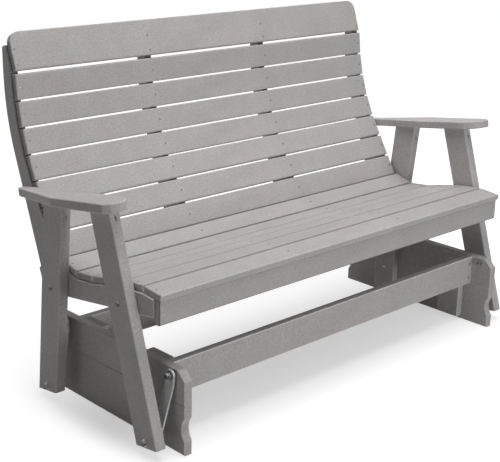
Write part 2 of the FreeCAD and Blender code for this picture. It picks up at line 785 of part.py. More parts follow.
def make_links():
    """Offset flat links, each with a bearing in both eyes."""
    half = "Sizes.link_thickness / 2"
    eye = "Sizes.link_eye_radius"
    tab = "Sizes.link_tab"
    length = "Sizes.link_length"
    step = "(Layout.link_lower_x - Layout.link_upper_x)"
    sided = [
        (f"{step} - {half}", f"-{length} - {eye}"), (f"{step} + {half}", f"-{length} - {eye}"),
        (f"{step} + {half}", f"{tab} - {length}"), (half, f"-{tab}"),
        (half, eye), (f"-{half}", eye),
        (f"-{half}", f"-{tab}"), (f"{step} - {half}", f"{tab} - {length}"),
    ]
    mirrored = [(f"-({across})", up) for across, up in reversed(sided)]
    press = place("bearing_radius")
    running = {"front": place("running_clearance"), "rear": place("rear_running_clearance")}
    wide = place("bearing_width")
    reach = place("link_eye_radius")
    tips = [
        Vector(0, across, up)
        for across in (-reach, reach) for up in (reach, -place("link_length") - reach)
    ]
    for end, way in (("front", ""), ("rear", "-")):
        tilt = f"{way}Sizes.{end}_link_tilt"
        for side, sign in SIDES.items():
            upper = Vector(sign * place("link_upper_x"), place(f"{end}_pivot_y"), place("pivot_height"))
            lower = Vector(sign * place("link_lower_x"), place(f"{end}_low_y"), place(f"{end}_low_z"))
            corners = sided if side == "right" else mirrored
            link = board(f"{end}_{side}_link", "XZ_Plane", corners, f"2 * {eye}",
                         (f"{sign} * Layout.link_upper_x", f"Sizes.{end}_pivot_y", "Sizes.pivot_height"),
                         turn=tilt, both_ways=True)
            ease(link, passes_through(ALONG_X, tips), f"{eye} - Sizes.fit_clearance")
            eyes = [
                Part.makeCylinder(press, wide, centre - ALONG_X * wide / 2, ALONG_X)
                for centre in (upper, lower)
            ]
            finish(link.Label, link, eyes)

            bolt = place("pivot_bolt_radius")
            bearings = doc.addObject("Part::Feature", f"{end}_{side}_link_bearings")
            bearings.Shape = Part.makeCompound([
                eyes[0].cut(Part.makeCylinder(bolt + place("running_clearance"), wide,
                                              upper - ALONG_X * wide / 2, ALONG_X)),
                eyes[1].cut(Part.makeCylinder(bolt + running[end], wide,
                                              lower - ALONG_X * wide / 2, ALONG_X)),
            ])
            finish(bearings.Name, bearings)


def make_rails():
    """Seat rails: a facet under each slat, a heel seat for the stile, an edge parallel to the recline."""
    corners = [
        ("Layout.rail_front_y", "Layout.rail_bottom_z"), ("Layout.heel_y", "Layout.heel_z"),
        ("Layout.foot_rear_y", "Layout.foot_rear_z"), ("Layout.foot_front_y", "Layout.foot_front_z"),
        ("Layout.shelf_y", "Layout.shelf_z"),
    ]
    corners += [(f"Layout.seat_y_{slat}", f"Layout.seat_z_{slat}") for slat in SEAT_SLATS[:-1]]
    corners.append(("Layout.rail_front_y", "Layout.rail_top_z"))
    along = turned(-1, 0, place("recline"))
    top_edge = [Vector(0, place(f"seat_y_{slat}"), place(f"seat_z_{slat}")) for slat in SEAT_SLATS[:-1]]
    top_edge.append(Vector(0, place("rail_front_y"), place("rail_top_z")))
    for frame in FRAMES:
        rail = board(f"seat_rail_{frame}", "YZ_Plane", corners, "Sizes.frame_thickness",
                     (f"Layout.rail_{frame}_x", "0", "0"))
        ease(rail, longer_than(place("slat_width") * 3, runs_along(along)))
        ease(rail, joins(top_edge))
        cutters = [screw_bore(seat_seat(slat, frame), place("slat_screw_length")) for slat in SEAT_SLATS]
        cutters.append(screw_bore(apron_seat(frame), place("slat_screw_length")))
        cutters += [screw_bore(seat, place("foot_screw_length")) for seat in foot_seats(frame)]
        if frame in SIDES:
            depth = place("leg_thickness") + place("frame_thickness") + OVERRUN
            radius = place("leg_bolt_radius") + place("fit_clearance")
            cutters += [bore(leg_seat(end, frame, "bolt"), radius, depth) for end in ENDS]
        finish(rail.Label, rail, cutters)


def make_stiles():
    """Back stiles: a facet behind each slat, a straight then bent rear edge and a rounded top."""
    corners = [
        ("Layout.foot_front_y", "Layout.foot_front_z"), ("Layout.foot_rear_y", "Layout.foot_rear_z"),
        ("Layout.bend_y", "Layout.bend_z"), ("Sizes.stile_rear_y", "Sizes.stile_bend_z"),
        ("Sizes.stile_rear_y", "Layout.stile_top_z"), ("Layout.stile_top_y", "Layout.stile_top_z"),
    ]
    bends = [slat for slat in BACK_SLATS if slat and BACK_TURNS[slat] != BACK_TURNS[slat - 1]]
    corners += [(f"Layout.back_y_{slat}", f"Layout.back_z_{slat}") for slat in reversed(bends)]
    arcs = {2: "Sizes.stile_rear_radius"}
    rear = place("stile_rear_y")
    top = place("stile_top_z")
    rounding = place("stile_top_radius")
    corner = Vector(0, rear, top)
    rear_edge = [
        Vector(0, place("foot_rear_y"), place("foot_rear_z")),
        Vector(0, place("bend_y"), place("bend_z")),
        Vector(0, rear, place("stile_bend_z")),
        Vector(0, rear, top - rounding),
        Vector(0, rear - rounding, top),
    ]
    for frame in FRAMES:
        stile = board(f"back_stile_{frame}", "YZ_Plane", corners, "Sizes.frame_thickness",
                      (f"Layout.stile_{frame}_x", "0", "0"), arcs=arcs)
        ease(stile, passes_through(ALONG_X, [corner]), "Sizes.stile_top_radius")
        ease(stile, joins(rear_edge))
        cutters = [
            screw_bore(seat, place("slat_screw_length"))
            for slat in BACK_SLATS for seat in back_seats(slat, frame)
        ]
        cutters += [screw_bore(seat, place("foot_screw_length")) for seat in foot_seats(frame)]
        if frame in SIDES:
            cutters += [screw_bore(seat, place("arm_screw_length")) for seat in arm_seats(frame)]
        finish(stile.Label, stile, cutters)


def make_slats():
    """Back slats with the wide crest on top, seat slats and the plumb apron under the nose."""
    thick = "Sizes.slat_thickness"
    length = place("slat_screw_length")
    for slat in BACK_SLATS:
        label = f"back_slat_{slat + 1}"
        width = "Sizes.slat_width"
        half = "Layout.half_back"
        if slat == CREST:
            label = "back_crest_slat"
            width = "Sizes.crest_width"
            half = "Layout.half_crest"
        corners = [(f"-{thick}", "0"), ("0", "0"), ("0", width), (f"-{thick}", width)]
        piece = board(label, "YZ_Plane", corners, f"2 * {half}",
                      (f"-{half}", f"Layout.back_y_{slat}", f"Layout.back_z_{slat}"),
                      turn=f"-Layout.back_slope_{slat}")
        if slat == CREST:
            tops = [Vector(end, 0, place("crest_width")) for end in (0, 2 * place("half_crest"))]
            ease(piece, passes_through(ALONG_Y, tops), "Sizes.crest_corner_radius")
        ease(piece, lies_on(ALONG_Y, (0, -place("slat_thickness"))))
        seats = [seat for frame in FRAMES for seat in back_seats(slat, frame)]
        finish(label, piece, [screw_bore(seat, length) for seat in seats])

    corners = [("-Sizes.slat_width", "0"), ("0", "0"), ("0", thick), ("-Sizes.slat_width", thick)]
    for slat in SEAT_SLATS:
        rear_edge = (f"Layout.seat_y_{slat - 1}", f"Layout.seat_z_{slat - 1}")
        piece = board(f"seat_slat_{slat}", "YZ_Plane", corners, "Sizes.seat_slat_length",
                      ("-Sizes.seat_slat_length / 2", *rear_edge), turn=f"-Sizes.seat_slope_{slat}")
        ease(piece, lies_on(ALONG_Z, (0, place("slat_thickness"))))
        finish(piece.Label, piece, [screw_bore(seat_seat(slat, frame), length) for frame in FRAMES])

    front = "Layout.apron_y"
    rear = "Layout.rail_front_y"
    low = "Layout.apron_top_z - Sizes.apron_height"
    high = "Layout.apron_top_z"
    apron = board("front_apron", "YZ_Plane", [(front, low), (rear, low), (rear, high), (front, high)],
                  "Sizes.seat_slat_length", ("-Sizes.seat_slat_length / 2", "0", "0"))
    ease(apron, lies_on(ALONG_Y, (place("apron_y"), place("rail_front_y"))))
    finish(apron.Label, apron, [screw_bore(apron_seat(frame), length) for frame in FRAMES])


def make_legs():
    """Board legs with a pocket under the arm, bolted to the outer rails."""
    for end in ENDS:
        corners = [
            (f"Layout.{end}_{corner}_y", f"Layout.{end}_{corner}_z")
            for corner in ("fore_toe", "aft_toe", "aft_top", "fore_top")
        ]
        along = turned(0, 1, place(f"{end}_leg_lean"))
        for side in SIDES:
            leg = board(f"{end}_{side}_leg", "YZ_Plane", corners, "Sizes.leg_thickness",
                        (f"Layout.leg_{side}_x", "0", "0"))
            ease(leg, runs_along(along))
            pocket = pocket_seat(end, side)
            depth = place("leg_thickness") + OVERRUN
            finish(leg.Label, leg, [
                pivot_bore(leg_seat(end, side, "low"), depth),
                bore(leg_seat(end, side, "bolt"), place("leg_bolt_radius") + place("fit_clearance"), depth),
                screw_bore(pocket, place("arm_screw_length")).fuse(
                    bore(pocket, place("screw_head_radius") + place("fit_clearance"), 0,
                         place("leg_width"))),
            ])


def make_arms():
    """Board arms, reclined like the rails, with a rounded inner corner and a tapered tail."""
    inner = "(Layout.half_seat - Sizes.arm_inset)"
    outer = f"({inner} + Sizes.arm_width)"
    neck = "Layout.half_stile"
    sided = [
        (inner, "Sizes.arm_front"),
        (f"({outer} - Sizes.arm_facet_width)", "Sizes.arm_front"),
        (outer, "Sizes.arm_front + Sizes.arm_facet"),
        (outer, "Sizes.arm_kink"),
        (f"({neck} + Sizes.arm_rear_width)", "Layout.arm_rear"),
        (neck, "Layout.arm_rear"),
        (neck, "Layout.arm_neck"),
        (inner, "Sizes.arm_swell"),
    ]
    mirrored = [(f"-{across}", along) for across, along in reversed(sided)]
    for side, sign in SIDES.items():
        arm = board(f"armrest_{side}", "XY_Plane", sided if side == "right" else mirrored,
                    "Sizes.arm_thickness", ("0", "0", "Layout.arm_line"), turn="-Sizes.recline")
        corner, *kinks = [Vector(sign * number(across), number(along), 0) for across, along in sided]
        ease(arm, passes_through(ALONG_Z, [corner]), "Sizes.arm_corner_radius")
        ease(arm, passes_through(ALONG_Z, kinks), "Sizes.arm_kink_radius")
        ease(arm, lies_on(ALONG_Z, (0, place("arm_thickness"))))
        seats = [pocket_seat(end, side) for end in ENDS] + arm_seats(side)
        finish(arm.Label, arm, [screw_bore(seat, place("arm_screw_length")) for seat in seats])


def make_fasteners():
    """Screws and bolts of the seat."""
    back = [seat for slat in BACK_SLATS for frame in FRAMES for seat in back_seats(slat, frame)]
    seat_screws = [seat_seat(slat, frame) for slat in SEAT_SLATS for frame in FRAMES]
    seat_screws += [apron_seat(frame) for frame in FRAMES]
    slat_screw = screw("slat_screw", "Sizes.slat_screw_length")
    group("back_screws", slat_screw, back)
    group("seat_screws", slat_screw, seat_screws)
    group("stile_foot_screws", screw("foot_screw", "Sizes.foot_screw_length"),
          [seat for frame in FRAMES for seat in foot_seats(frame)])
    arm_screws = [pocket_seat(end, side) for end in ENDS for side in SIDES]
    arm_screws += [seat for side in SIDES for seat in arm_seats(side)]
    group("arm_screws", screw("arm_screw", "Sizes.arm_screw_length"), arm_screws)
    bolts = [leg_seat(end, side, "bolt") for end in ENDS for side in SIDES]
    through = place("leg_thickness") + place("frame_thickness")
    length = "Sizes.leg_thickness + Sizes.frame_thickness + Sizes.leg_nut_height + Sizes.bolt_tail"
    group("leg_bolts", leg_bolt("leg_bolt", length), bolts)
    group("leg_bolt_nuts",
          nut("leg_nut", "Sizes.leg_nut_radius", "Sizes.leg_nut_height", "Sizes.leg_bolt_radius"),
          [moved(seat, -through, flipped=True) for seat in bolts])


make_base()
make_upper_pivots()
make_links()
make_rails()
make_stiles()
make_slats()
make_legs()
make_arms()
make_fasteners()
make_lower_pivots()
doc.recompute()

for item in doc.Objects:
    if "Invalid" in item.State or "Error" in item.State:
        raise RuntimeError(f"{item.Label}: {item.State}")
for node in nodes:
    if node.Shape.isNull() or not node.Shape.isValid():
        raise RuntimeError(f"{node.Label}: no valid shape")

os.makedirs("parts", exist_ok=True)
for node in nodes:
    node.Shape.exportStep(f"parts/{node.Label}.step")
print(f"{len(nodes)} pieces written")
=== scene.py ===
"""Looks of a slatted glider bench: grey plastic lumber, steel links and hardware, in a white studio."""

import logging
import math
from abc import ABC, abstractmethod
from collections.abc import Sequence
from dataclasses import dataclass, field, replace
from enum import Enum
from functools import reduce
from typing import ClassVar

import bpy
import numpy as np
from mathutils import Matrix, Vector


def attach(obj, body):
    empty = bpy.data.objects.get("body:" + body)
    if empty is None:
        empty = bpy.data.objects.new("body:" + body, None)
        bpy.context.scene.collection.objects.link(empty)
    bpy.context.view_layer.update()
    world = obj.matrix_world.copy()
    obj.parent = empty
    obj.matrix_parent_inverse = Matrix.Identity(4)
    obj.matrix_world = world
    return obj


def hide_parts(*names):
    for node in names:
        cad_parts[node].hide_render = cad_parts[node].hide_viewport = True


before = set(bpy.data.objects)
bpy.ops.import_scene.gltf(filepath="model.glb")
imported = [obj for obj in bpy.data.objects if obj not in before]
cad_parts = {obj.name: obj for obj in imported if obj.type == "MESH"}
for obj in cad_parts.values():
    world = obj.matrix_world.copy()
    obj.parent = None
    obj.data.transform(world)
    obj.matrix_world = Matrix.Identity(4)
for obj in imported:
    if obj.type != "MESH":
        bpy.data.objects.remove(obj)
LOG = logging.getLogger("glider_bench")

MM = 0.001

# Directions and angles.
FULL_TURN = 2 * math.pi
SIXTH_TURN = FULL_TURN / 6
GOLDEN_TURN = math.radians(137.5)
CREASE = math.radians(32)
STEEP = 0.7

# Reading of CAD meshes: corners this close are one, and a head's rim is this wide.
WELD = 1e-6
RIM_BAND = 0.1 * MM
SMALLEST_AREA = 1e-18

# Band in which most of a noise lies.
NOISE_BAND = (0.3, 0.7)

# Hexagons: distance of a flat over that of a corner, and the cone that cuts the corners.
FLAT_SHARE = math.cos(SIXTH_TURN / 2)
CONE_START = 0.97
CONE_SLOPE = 1.73

# Threads: rows to a turn, depth over pitch, and the plain lengths at both ends.
THREAD_ROWS = 4
THREAD_DEPTH = 0.55
RUN_IN = 1.0 * MM
RUN_OUT = 0.3 * MM

# Words that the names of CAD nodes are made of.
SIDES = ("left", "right")
ENDS = ("front", "rear")
FRAMES = ("left", "mid_left", "mid_right", "right")

Piece = bpy.types.Object
Material = bpy.types.Material
Tree = bpy.types.NodeTree
Node = bpy.types.Node
Socket = bpy.types.NodeSocket
Pair = tuple[float, float]
Triple = tuple[float, float, float]
Feed = Socket | float | Sequence[float]
Grid = tuple[np.ndarray, np.ndarray]


class Slot(Enum):
    """Material slots of the record."""

    LUMBER = "lumber"
    LINK_STEEL = "link_steel"
    HARDWARE = "hardware"
    BEARING = "bearing"


class Body(Enum):
    """Bodies of the bench that move against one another."""

    BASE = "base"
    SEAT = "seat"
    FRONT_LEFT_LINK = "front_left_link"
    FRONT_RIGHT_LINK = "front_right_link"
    REAR_LEFT_LINK = "rear_left_link"
    REAR_RIGHT_LINK = "rear_right_link"


class Axis(Enum):
    """How the axis of a fastener shows in its solid: as its longest or its shortest direction."""

    LONGEST = 0
    SHORTEST = 2


class Graph:
    """Node tree that grows node by node."""

    def __init__(self, tree: Tree) -> None:
        """Start from an empty tree."""
        self.tree = tree
        tree.nodes.clear()

    def add(self, kind: str, values: dict[str | int, Feed] | None = None, **settings: object) -> Node:
        """Add a node.

        Args:
            kind: Type of the node.
            values: Input name or index to a number, colour or the socket that feeds it.
            settings: Properties of the node.

        Returns:
            The new node.
        """
        node = self.tree.nodes.new(kind)
        for key, value in settings.items():
            setattr(node, key, value)
        for key, value in (values or {}).items():
            self.feed(node.inputs[key], value)
        return node

    def feed(self, socket: Socket, value: Feed) -> None:
        """Join an input to another socket, or set it.

        Args:
            socket: Input of a node.
            value: Socket that feeds it, or its number or colour.
        """
        if isinstance(value, Socket):
            self.tree.links.new(value, socket)
        else:
            socket.default_value = value

    def math(self, operation: str, *terms: Feed) -> Socket:
        """Value of an arithmetic operation on numbers."""
        return self.add("ShaderNodeMath", dict(enumerate(terms)), operation=operation).outputs[0]

    def product(self, *terms: Feed) -> Socket:
        """Numbers multiplied together."""
        return reduce(lambda before, term: self.math("MULTIPLY", before, term), terms)

    def vector(self, operation: str, *terms: Feed) -> Socket:
        """Vector that an operation on vectors gives."""
        node = self.add("ShaderNodeVectorMath", dict(enumerate(terms)), operation=operation)
        return node.outputs["Vector"]

    def reading(self, operation: str, *terms: Feed) -> Socket:
        """Number that an operation on vectors gives."""
        node = self.add("ShaderNodeVectorMath", dict(enumerate(terms)), operation=operation)
        return node.outputs["Value"]

    def split(self, vector: Socket) -> dict[str, Socket]:
        """Parts of a vector by the letter of their axis."""
        return dict(self.add("ShaderNodeSeparateXYZ", {0: vector}).outputs.items())

    def noise(self, place: Socket, scale: Feed, detail: float = 2.0) -> Socket:
        """Noise between 0 and 1 with a given number of bumps to the metre."""
        node = self.add("ShaderNodeTexNoise", {"Vector": place, "Scale": scale, "Detail": detail})
        return node.outputs["Fac"]

    def ramp(self, value: Socket, source: Pair, target: Pair, smooth: bool = False) -> Socket:
        """Carry a number from one range to another and hold it at the ends.

        Args:
            value: Number to carry.
            source: Where the ramp starts and ends.
            target: What it gives there.
            smooth: Whether it eases in and out, as 3 t t - 2 t t t does.

        Returns:
            The number that the ramp gives.
        """
        node = self.add("ShaderNodeMapRange", dict(enumerate((value, *source, *target))),
                        interpolation_type="SMOOTHSTEP" if smooth else "LINEAR")
        return node.outputs[0]

    def spread(self, noise: Socket, target: Pair) -> Socket:
        """Noise carried from its usual band to a range."""
        return self.ramp(noise, NOISE_BAND, target)

    def blend(self, share: Feed, first: Feed, second: Feed, how: str = "MIX") -> Socket:
        """Mix two colours.

        Args:
            share: Share of the mixed result.
            first: Colour below.
            second: Colour above.
            how: Way of mixing.

        Returns:
            The mixed colour.
        """
        node = self.add("ShaderNodeMix", data_type="RGBA", blend_type=how)
        colours = [socket for socket in node.inputs if socket.type == "RGBA"]
        for socket, value in zip((node.inputs[0], *colours), (share, first, second)):
            self.feed(socket, value)
        return next(socket for socket in node.outputs if socket.type == "RGBA")

    def shaded(self, colour: Feed, tone: Socket) -> Socket:
        """Colour multiplied by a tone."""
        grey = self.add("ShaderNodeCombineColor", {0: tone, 1: tone, 2: tone}).outputs[0]
        return self.blend(1.0, colour, grey, "MULTIPLY")

    def relief(self, height: Socket, strength: float, depth: float) -> Socket:
        """Normal of a surface that rises with a height."""
        node = self.add("ShaderNodeBump", {"Strength": strength, "Distance": depth, "Height": height})
        return node.outputs[0]

    def close(self, values: dict[str, Feed]) -> None:
        """Close a material with a Principled shader."""
        shader = self.add("ShaderNodeBsdfPrincipled", values)
        self.add("ShaderNodeOutputMaterial", {"Surface": shader.outputs[0]})


def new_group(
    name: str, inputs: dict[str, str], outputs: dict[str, str],
) -> tuple[Tree, Graph, dict[str, Socket]]:
    """Make an empty shader node group.

    Args:
        name: Name of the group.
        inputs: Input names to kinds of socket, such as Float.
        outputs: Output names to kinds of socket.

    Returns:
        The group, the graph that fills it, and its input sockets by name.
    """
    tree = bpy.data.node_groups.new(name, "ShaderNodeTree")
    for way, sockets in (("INPUT", inputs), ("OUTPUT", outputs)):
        for label, kind in sockets.items():
            tree.interface.new_socket(label, in_out=way, socket_type=f"NodeSocket{kind}")
    graph = Graph(tree)
    entry = graph.add("NodeGroupInput")
    return tree, graph, {label: entry.outputs[label] for label in inputs}


def new_material(name: str) -> tuple[Material, Graph]:
    """Make a material with an empty node tree.

    Args:
        name: Name of the material.

    Returns:
        The material and the graph that fills it.
    """
    material = bpy.data.materials.new(name)
    material.use_nodes = True
    return material, Graph(material.node_tree)


def tinted(level: float, tint: Triple = (1.0, 1.0, 1.0)) -> tuple[float, ...]:
    """Linear colour of a brightness, with each channel multiplied by its tint."""
    return (*(level * share for share in tint), 1.0)


def mesh_arrays(node: Piece) -> tuple[np.ndarray, np.ndarray]:
    """Read the mesh of a CAD node.

    Args:
        node: Node of the frame, made of triangles.

    Returns:
        Places of its corners, and the three corners of each triangle.
    """
    mesh = node.data
    points = np.empty(len(mesh.vertices) * 3)
    mesh.vertices.foreach_get("co", points)
    corners = np.empty(len(mesh.loops), dtype=np.int64)
    mesh.loops.foreach_get("vertex_index", corners)
    return points.reshape(-1, 3), corners.reshape(-1, 3)


@dataclass(frozen=True)
class BoardFrame:
    """Middle of a board, its directions along, across and through as rows, and half its size on them."""

    middle: np.ndarray
    axes: np.ndarray
    half: np.ndarray

    @classmethod
    def of(cls, node: Piece) -> "BoardFrame":
        """Find a board's own directions.

        The sum of area times n nT over its triangles, n the normal, is largest through the wide
        faces and smallest along the board, so its eigenvectors are the three directions.

        Args:
            node: Board of the frame.

        Returns:
            The board's middle, directions and half size.
        """
        points, triangles = mesh_arrays(node)
        corners = points[triangles]
        facing = np.cross(corners[:, 1] - corners[:, 0], corners[:, 2] - corners[:, 0])
        area = np.linalg.norm(facing, axis=1, keepdims=True)
        share = facing / np.sqrt(np.maximum(area, SMALLEST_AREA))
        axes = np.linalg.eigh(share.T @ share)[1].T
        lead = np.abs(axes).argmax(axis=1)
        axes *= np.sign(axes[np.arange(3), lead])[:, None]
        axes[2] = np.cross(axes[0], axes[1])
        middle = (points.min(axis=0) + points.max(axis=0)) / 2
        return cls(middle, axes, np.ptp(points @ axes.T, axis=0) / 2)

    @property
    def along(self) -> np.ndarray:
        """Direction of the grain."""
        return self.axes[0]

    @property
    def through(self) -> np.ndarray:
        """Direction through the wide faces."""
        return self.axes[2]


@dataclass(frozen=True)
class EdgeGains:
    """Painted highlight and painted shade of a board: how much paler it is at the border of its sawn
    ends, on its rounded edges and on faces that look to the front.

    A gain of one doubles the tone, and a gain below zero darkens it, as painted shade.
    """

    border: float = 0.0
    rim: float = 0.0
    front: float = 0.0


class EdgeTone(Enum):
    """Painted highlight and painted shade on the edges of each kind of board."""

    # Positive rims and borders are painted highlights on rounded edges and at the borders of sawn ends;
    # negative rims are painted shade, as along the seat slats' gaps, the apron under the nose and the inner
    # stiles.
    SEAT_SLAT = EdgeGains(border=1.8, rim=-0.08)
    NOSE_SLAT = EdgeGains(border=1.8, rim=0.25)
    APRON = EdgeGains(rim=-0.8)
    BACK_SLAT = EdgeGains(border=0.6, rim=0.1)
    RAIL = EdgeGains(rim=1.2)
    # Faces of the stiles that look to the front get painted shade, where they stand behind the back slats.
    OUTER_STILE = EdgeGains(rim=0.3, front=-0.65)
    INNER_STILE = EdgeGains(rim=-0.3, front=-0.65)
    PANEL = EdgeGains(rim=0.25)
    BEAM = EdgeGains(rim=0.9)
    LEG = EdgeGains(rim=0.12)


@dataclass(frozen=True)
class LumberFinish:
    """Grey recycled plastic board: cloudy tone, faint streaks along it, fine mottle and pebbled skin.

    Scales are bumps to the metre, and pairs are the range that a noise is spread over. A face is sawn
    where the squared share of its normal along the board is above sawn_share. Painted shade on faces
    that look to the front fades in from the first to the second value of the front fade, which are Y
    parts of its normal.
    """

    level: float = 0.45
    plain_tint: Triple = (0.998, 1.0, 0.97)
    blush_tint: Triple = (1.064, 1.0, 0.993)
    blush_scale: float = 15.3
    cloud_scale: float = 9.0
    cloud_tone: Pair = (0.95, 1.05)
    streak_scale: float = 5.0
    streak_stretch: Triple = (1.0, 30.0, 30.0)
    streak_tone: Pair = (0.987, 1.013)
    streak_height: float = 0.1
    mottle_scale: float = 190.0
    mottle_tone: Pair = (0.85, 1.15)
    mottle_rough: Pair = (0.5, 0.66)
    mottle_height: float = 0.6
    pebble_scale: float = 900.0
    pebble_height: float = 0.4
    score_scale: Triple = (1.0, 900.0, 60.0)
    score_dull: Pair = (0.02, 0.12)
    sawn_share: float = 0.94
    sawn_rough: float = 0.15
    # Width of the painted highlight at the border of a sawn end.
    border: float = 3.0 * MM
    front_fade: Pair = (-0.3, -0.6)
    bump_depth: float = 0.5 * MM
    bump_strength: float = 0.35
    specular: float = 0.35

    def group(self) -> Tree:
        """Build the board effect.

        Returns:
            Group whose tone is the product of clouds, streaks and mottle, the board's own tone and its
            painted edge highlights and shade, less on the sawn ends, whose height is a weighted sum of the
            same noises, and whose sawn ends are rougher and scored.
        """
        tree, graph, given = new_group(
            "board_skin",
            {"Place": "Vector", "Tone": "Float", "Edge": "Float", "Sawn": "Float"},
            {"Color": "Color", "Roughness": "Float", "Height": "Float"},
        )
        place, sawn = given["Place"], given["Sawn"]
        cloud = graph.noise(place, self.cloud_scale, detail=3.0)
        blush = graph.noise(place, self.blush_scale)
        drawn = graph.vector("MULTIPLY", place, self.streak_stretch)
        streak = graph.noise(drawn, self.streak_scale, detail=3.0)
        mottle = graph.noise(place, self.mottle_scale, detail=4.0)
        pebble = graph.noise(place, self.pebble_scale)
        score = graph.noise(graph.vector("MULTIPLY", place, self.score_scale), 1.0, detail=1.0)

        dull = graph.product(sawn, graph.spread(score, self.score_dull))
        # The tone takes the painted highlight and shade of the edges.
        tone = graph.product(
            graph.spread(cloud, self.cloud_tone), graph.spread(streak, self.streak_tone),
            graph.spread(mottle, self.mottle_tone), given["Tone"],
            graph.math("ADD", given["Edge"], 1.0), graph.math("SUBTRACT", 1.0, dull))
        tint = graph.blend(graph.spread(blush, (0.0, 1.0)), tinted(self.level, self.plain_tint),
                           tinted(self.level, self.blush_tint))
        rough = graph.math("MULTIPLY_ADD", sawn, self.sawn_rough, graph.spread(mottle, self.mottle_rough))
        height = graph.product(sawn, score)
        for noise, weight in ((mottle, self.mottle_height), (pebble, self.pebble_height),
                              (streak, self.streak_height)):
            height = graph.math("MULTIPLY_ADD", noise, weight, height)
        colour = graph.shaded(tint, tone)
        graph.add("NodeGroupOutput", {"Color": colour, "Roughness": rough, "Height": height})
        return tree

    def material(self, name: str, skin: Tree, board: BoardFrame, tone: float, edges: EdgeTone) -> Material:
        """Finish of one board, with the grain along it and painted highlight and shade on its edges.

        With w the share of a normal that points through the board, 4 w w (1 - w w) is largest
        halfway round the rounded edges. The share that points along the board marks its sawn ends, whose
        border is where the place is closer than a few millimetres to half the board's size. Both carry
        painted highlight or painted shade, and faces that look to the front carry painted shade.

        Args:
            name: Name of the board.
            skin: Group of the board effect.
            board: The board's middle, directions and half size.
            tone: Brightness of this board against the others.
            edges: Painted highlight and painted shade on its edges and front.

        Returns:
            The board's material.
        """
        gains = edges.value
        material, graph = new_material(f"lumber_{name}")
        where = graph.add("ShaderNodeTexCoord").outputs
        normal = where["Normal"]
        place = graph.add("ShaderNodeMapping", {
            "Vector": where["Object"], "Location": board.middle,
            "Rotation": Matrix(board.axes.T.tolist()).to_euler(),
        }, vector_type="TEXTURE").outputs[0]

        along = self.squared_share(graph, normal, board.along)
        sawn = graph.math("GREATER_THAN", along, self.sawn_share)
        # Painted highlight at the borders of sawn ends, painted highlight or shade round the rounded edges,
        # and painted shade on faces that look to the front.
        inside = board.half - self.border
        past = graph.split(graph.vector("SUBTRACT", graph.vector("ABSOLUTE", place), inside))
        border = graph.math("GREATER_THAN", graph.math("MAXIMUM", past["Y"], past["Z"]), 0.0)
        through = self.squared_share(graph, normal, board.through)
        rim = graph.product(through, graph.math("SUBTRACT", 1.0, through))
        front = graph.ramp(graph.split(normal)["Y"], self.front_fade, (0.0, gains.front))
        painted_edge_light = graph.math("MULTIPLY_ADD", rim, 4.0 * gains.rim, graph.product(sawn, border, gains.border))
        painted_edge_light = graph.math("ADD", painted_edge_light, front)

        look = graph.add("ShaderNodeGroup", {"Place": place, "Tone": tone, "Edge": painted_edge_light, "Sawn": sawn},
                         node_tree=skin).outputs
        graph.close({
            "Base Color": look["Color"], "Roughness": look["Roughness"],
            "Normal": graph.relief(look["Height"], self.bump_strength, self.bump_depth),
            "Specular IOR Level": self.specular,
        })
        return material

    @staticmethod
    def squared_share(graph: Graph, normal: Socket, direction: np.ndarray) -> Socket:
        """Square of the share of a normal that points along a direction, either way."""
        dot = graph.reading("DOT_PRODUCT", normal, direction)
        return graph.product(dot, dot)


@dataclass(frozen=True)
class RolledMetal:
    """Effect that the steel finishes share: cloudy plating, fine rolling lines and small dull specks."""

    cloud_tone: Pair = (0.86, 1.05)
    line_tone: Pair = (0.9, 1.08)
    line_dull: Pair = (0.0, 0.6)
    speck_scale: float = 700.0
    speck_dull: Pair = (0.0, 0.4)

    def group(self) -> Tree:
        """Build the metal effect.

        Returns:
            Group whose tone is clouds times lines, and whose dullness is lines plus specks.
        """
        tree, graph, given = new_group(
            "rolled_metal", {"Place": "Vector", "Lines": "Vector", "Cloud": "Float"},
            {"Tone": "Float", "Dull": "Float"})
        cloud = graph.noise(given["Place"], given["Cloud"], detail=3.0)
        lines = graph.noise(given["Lines"], 1.0, detail=3.0)
        speck = graph.noise(given["Place"], self.speck_scale)
        tone = graph.product(graph.spread(cloud, self.cloud_tone), graph.spread(lines, self.line_tone))
        dull = graph.math("ADD", graph.spread(lines, self.line_dull), graph.spread(speck, self.speck_dull))
        graph.add("NodeGroupOutput", {"Tone": tone, "Dull": dull})
        return tree


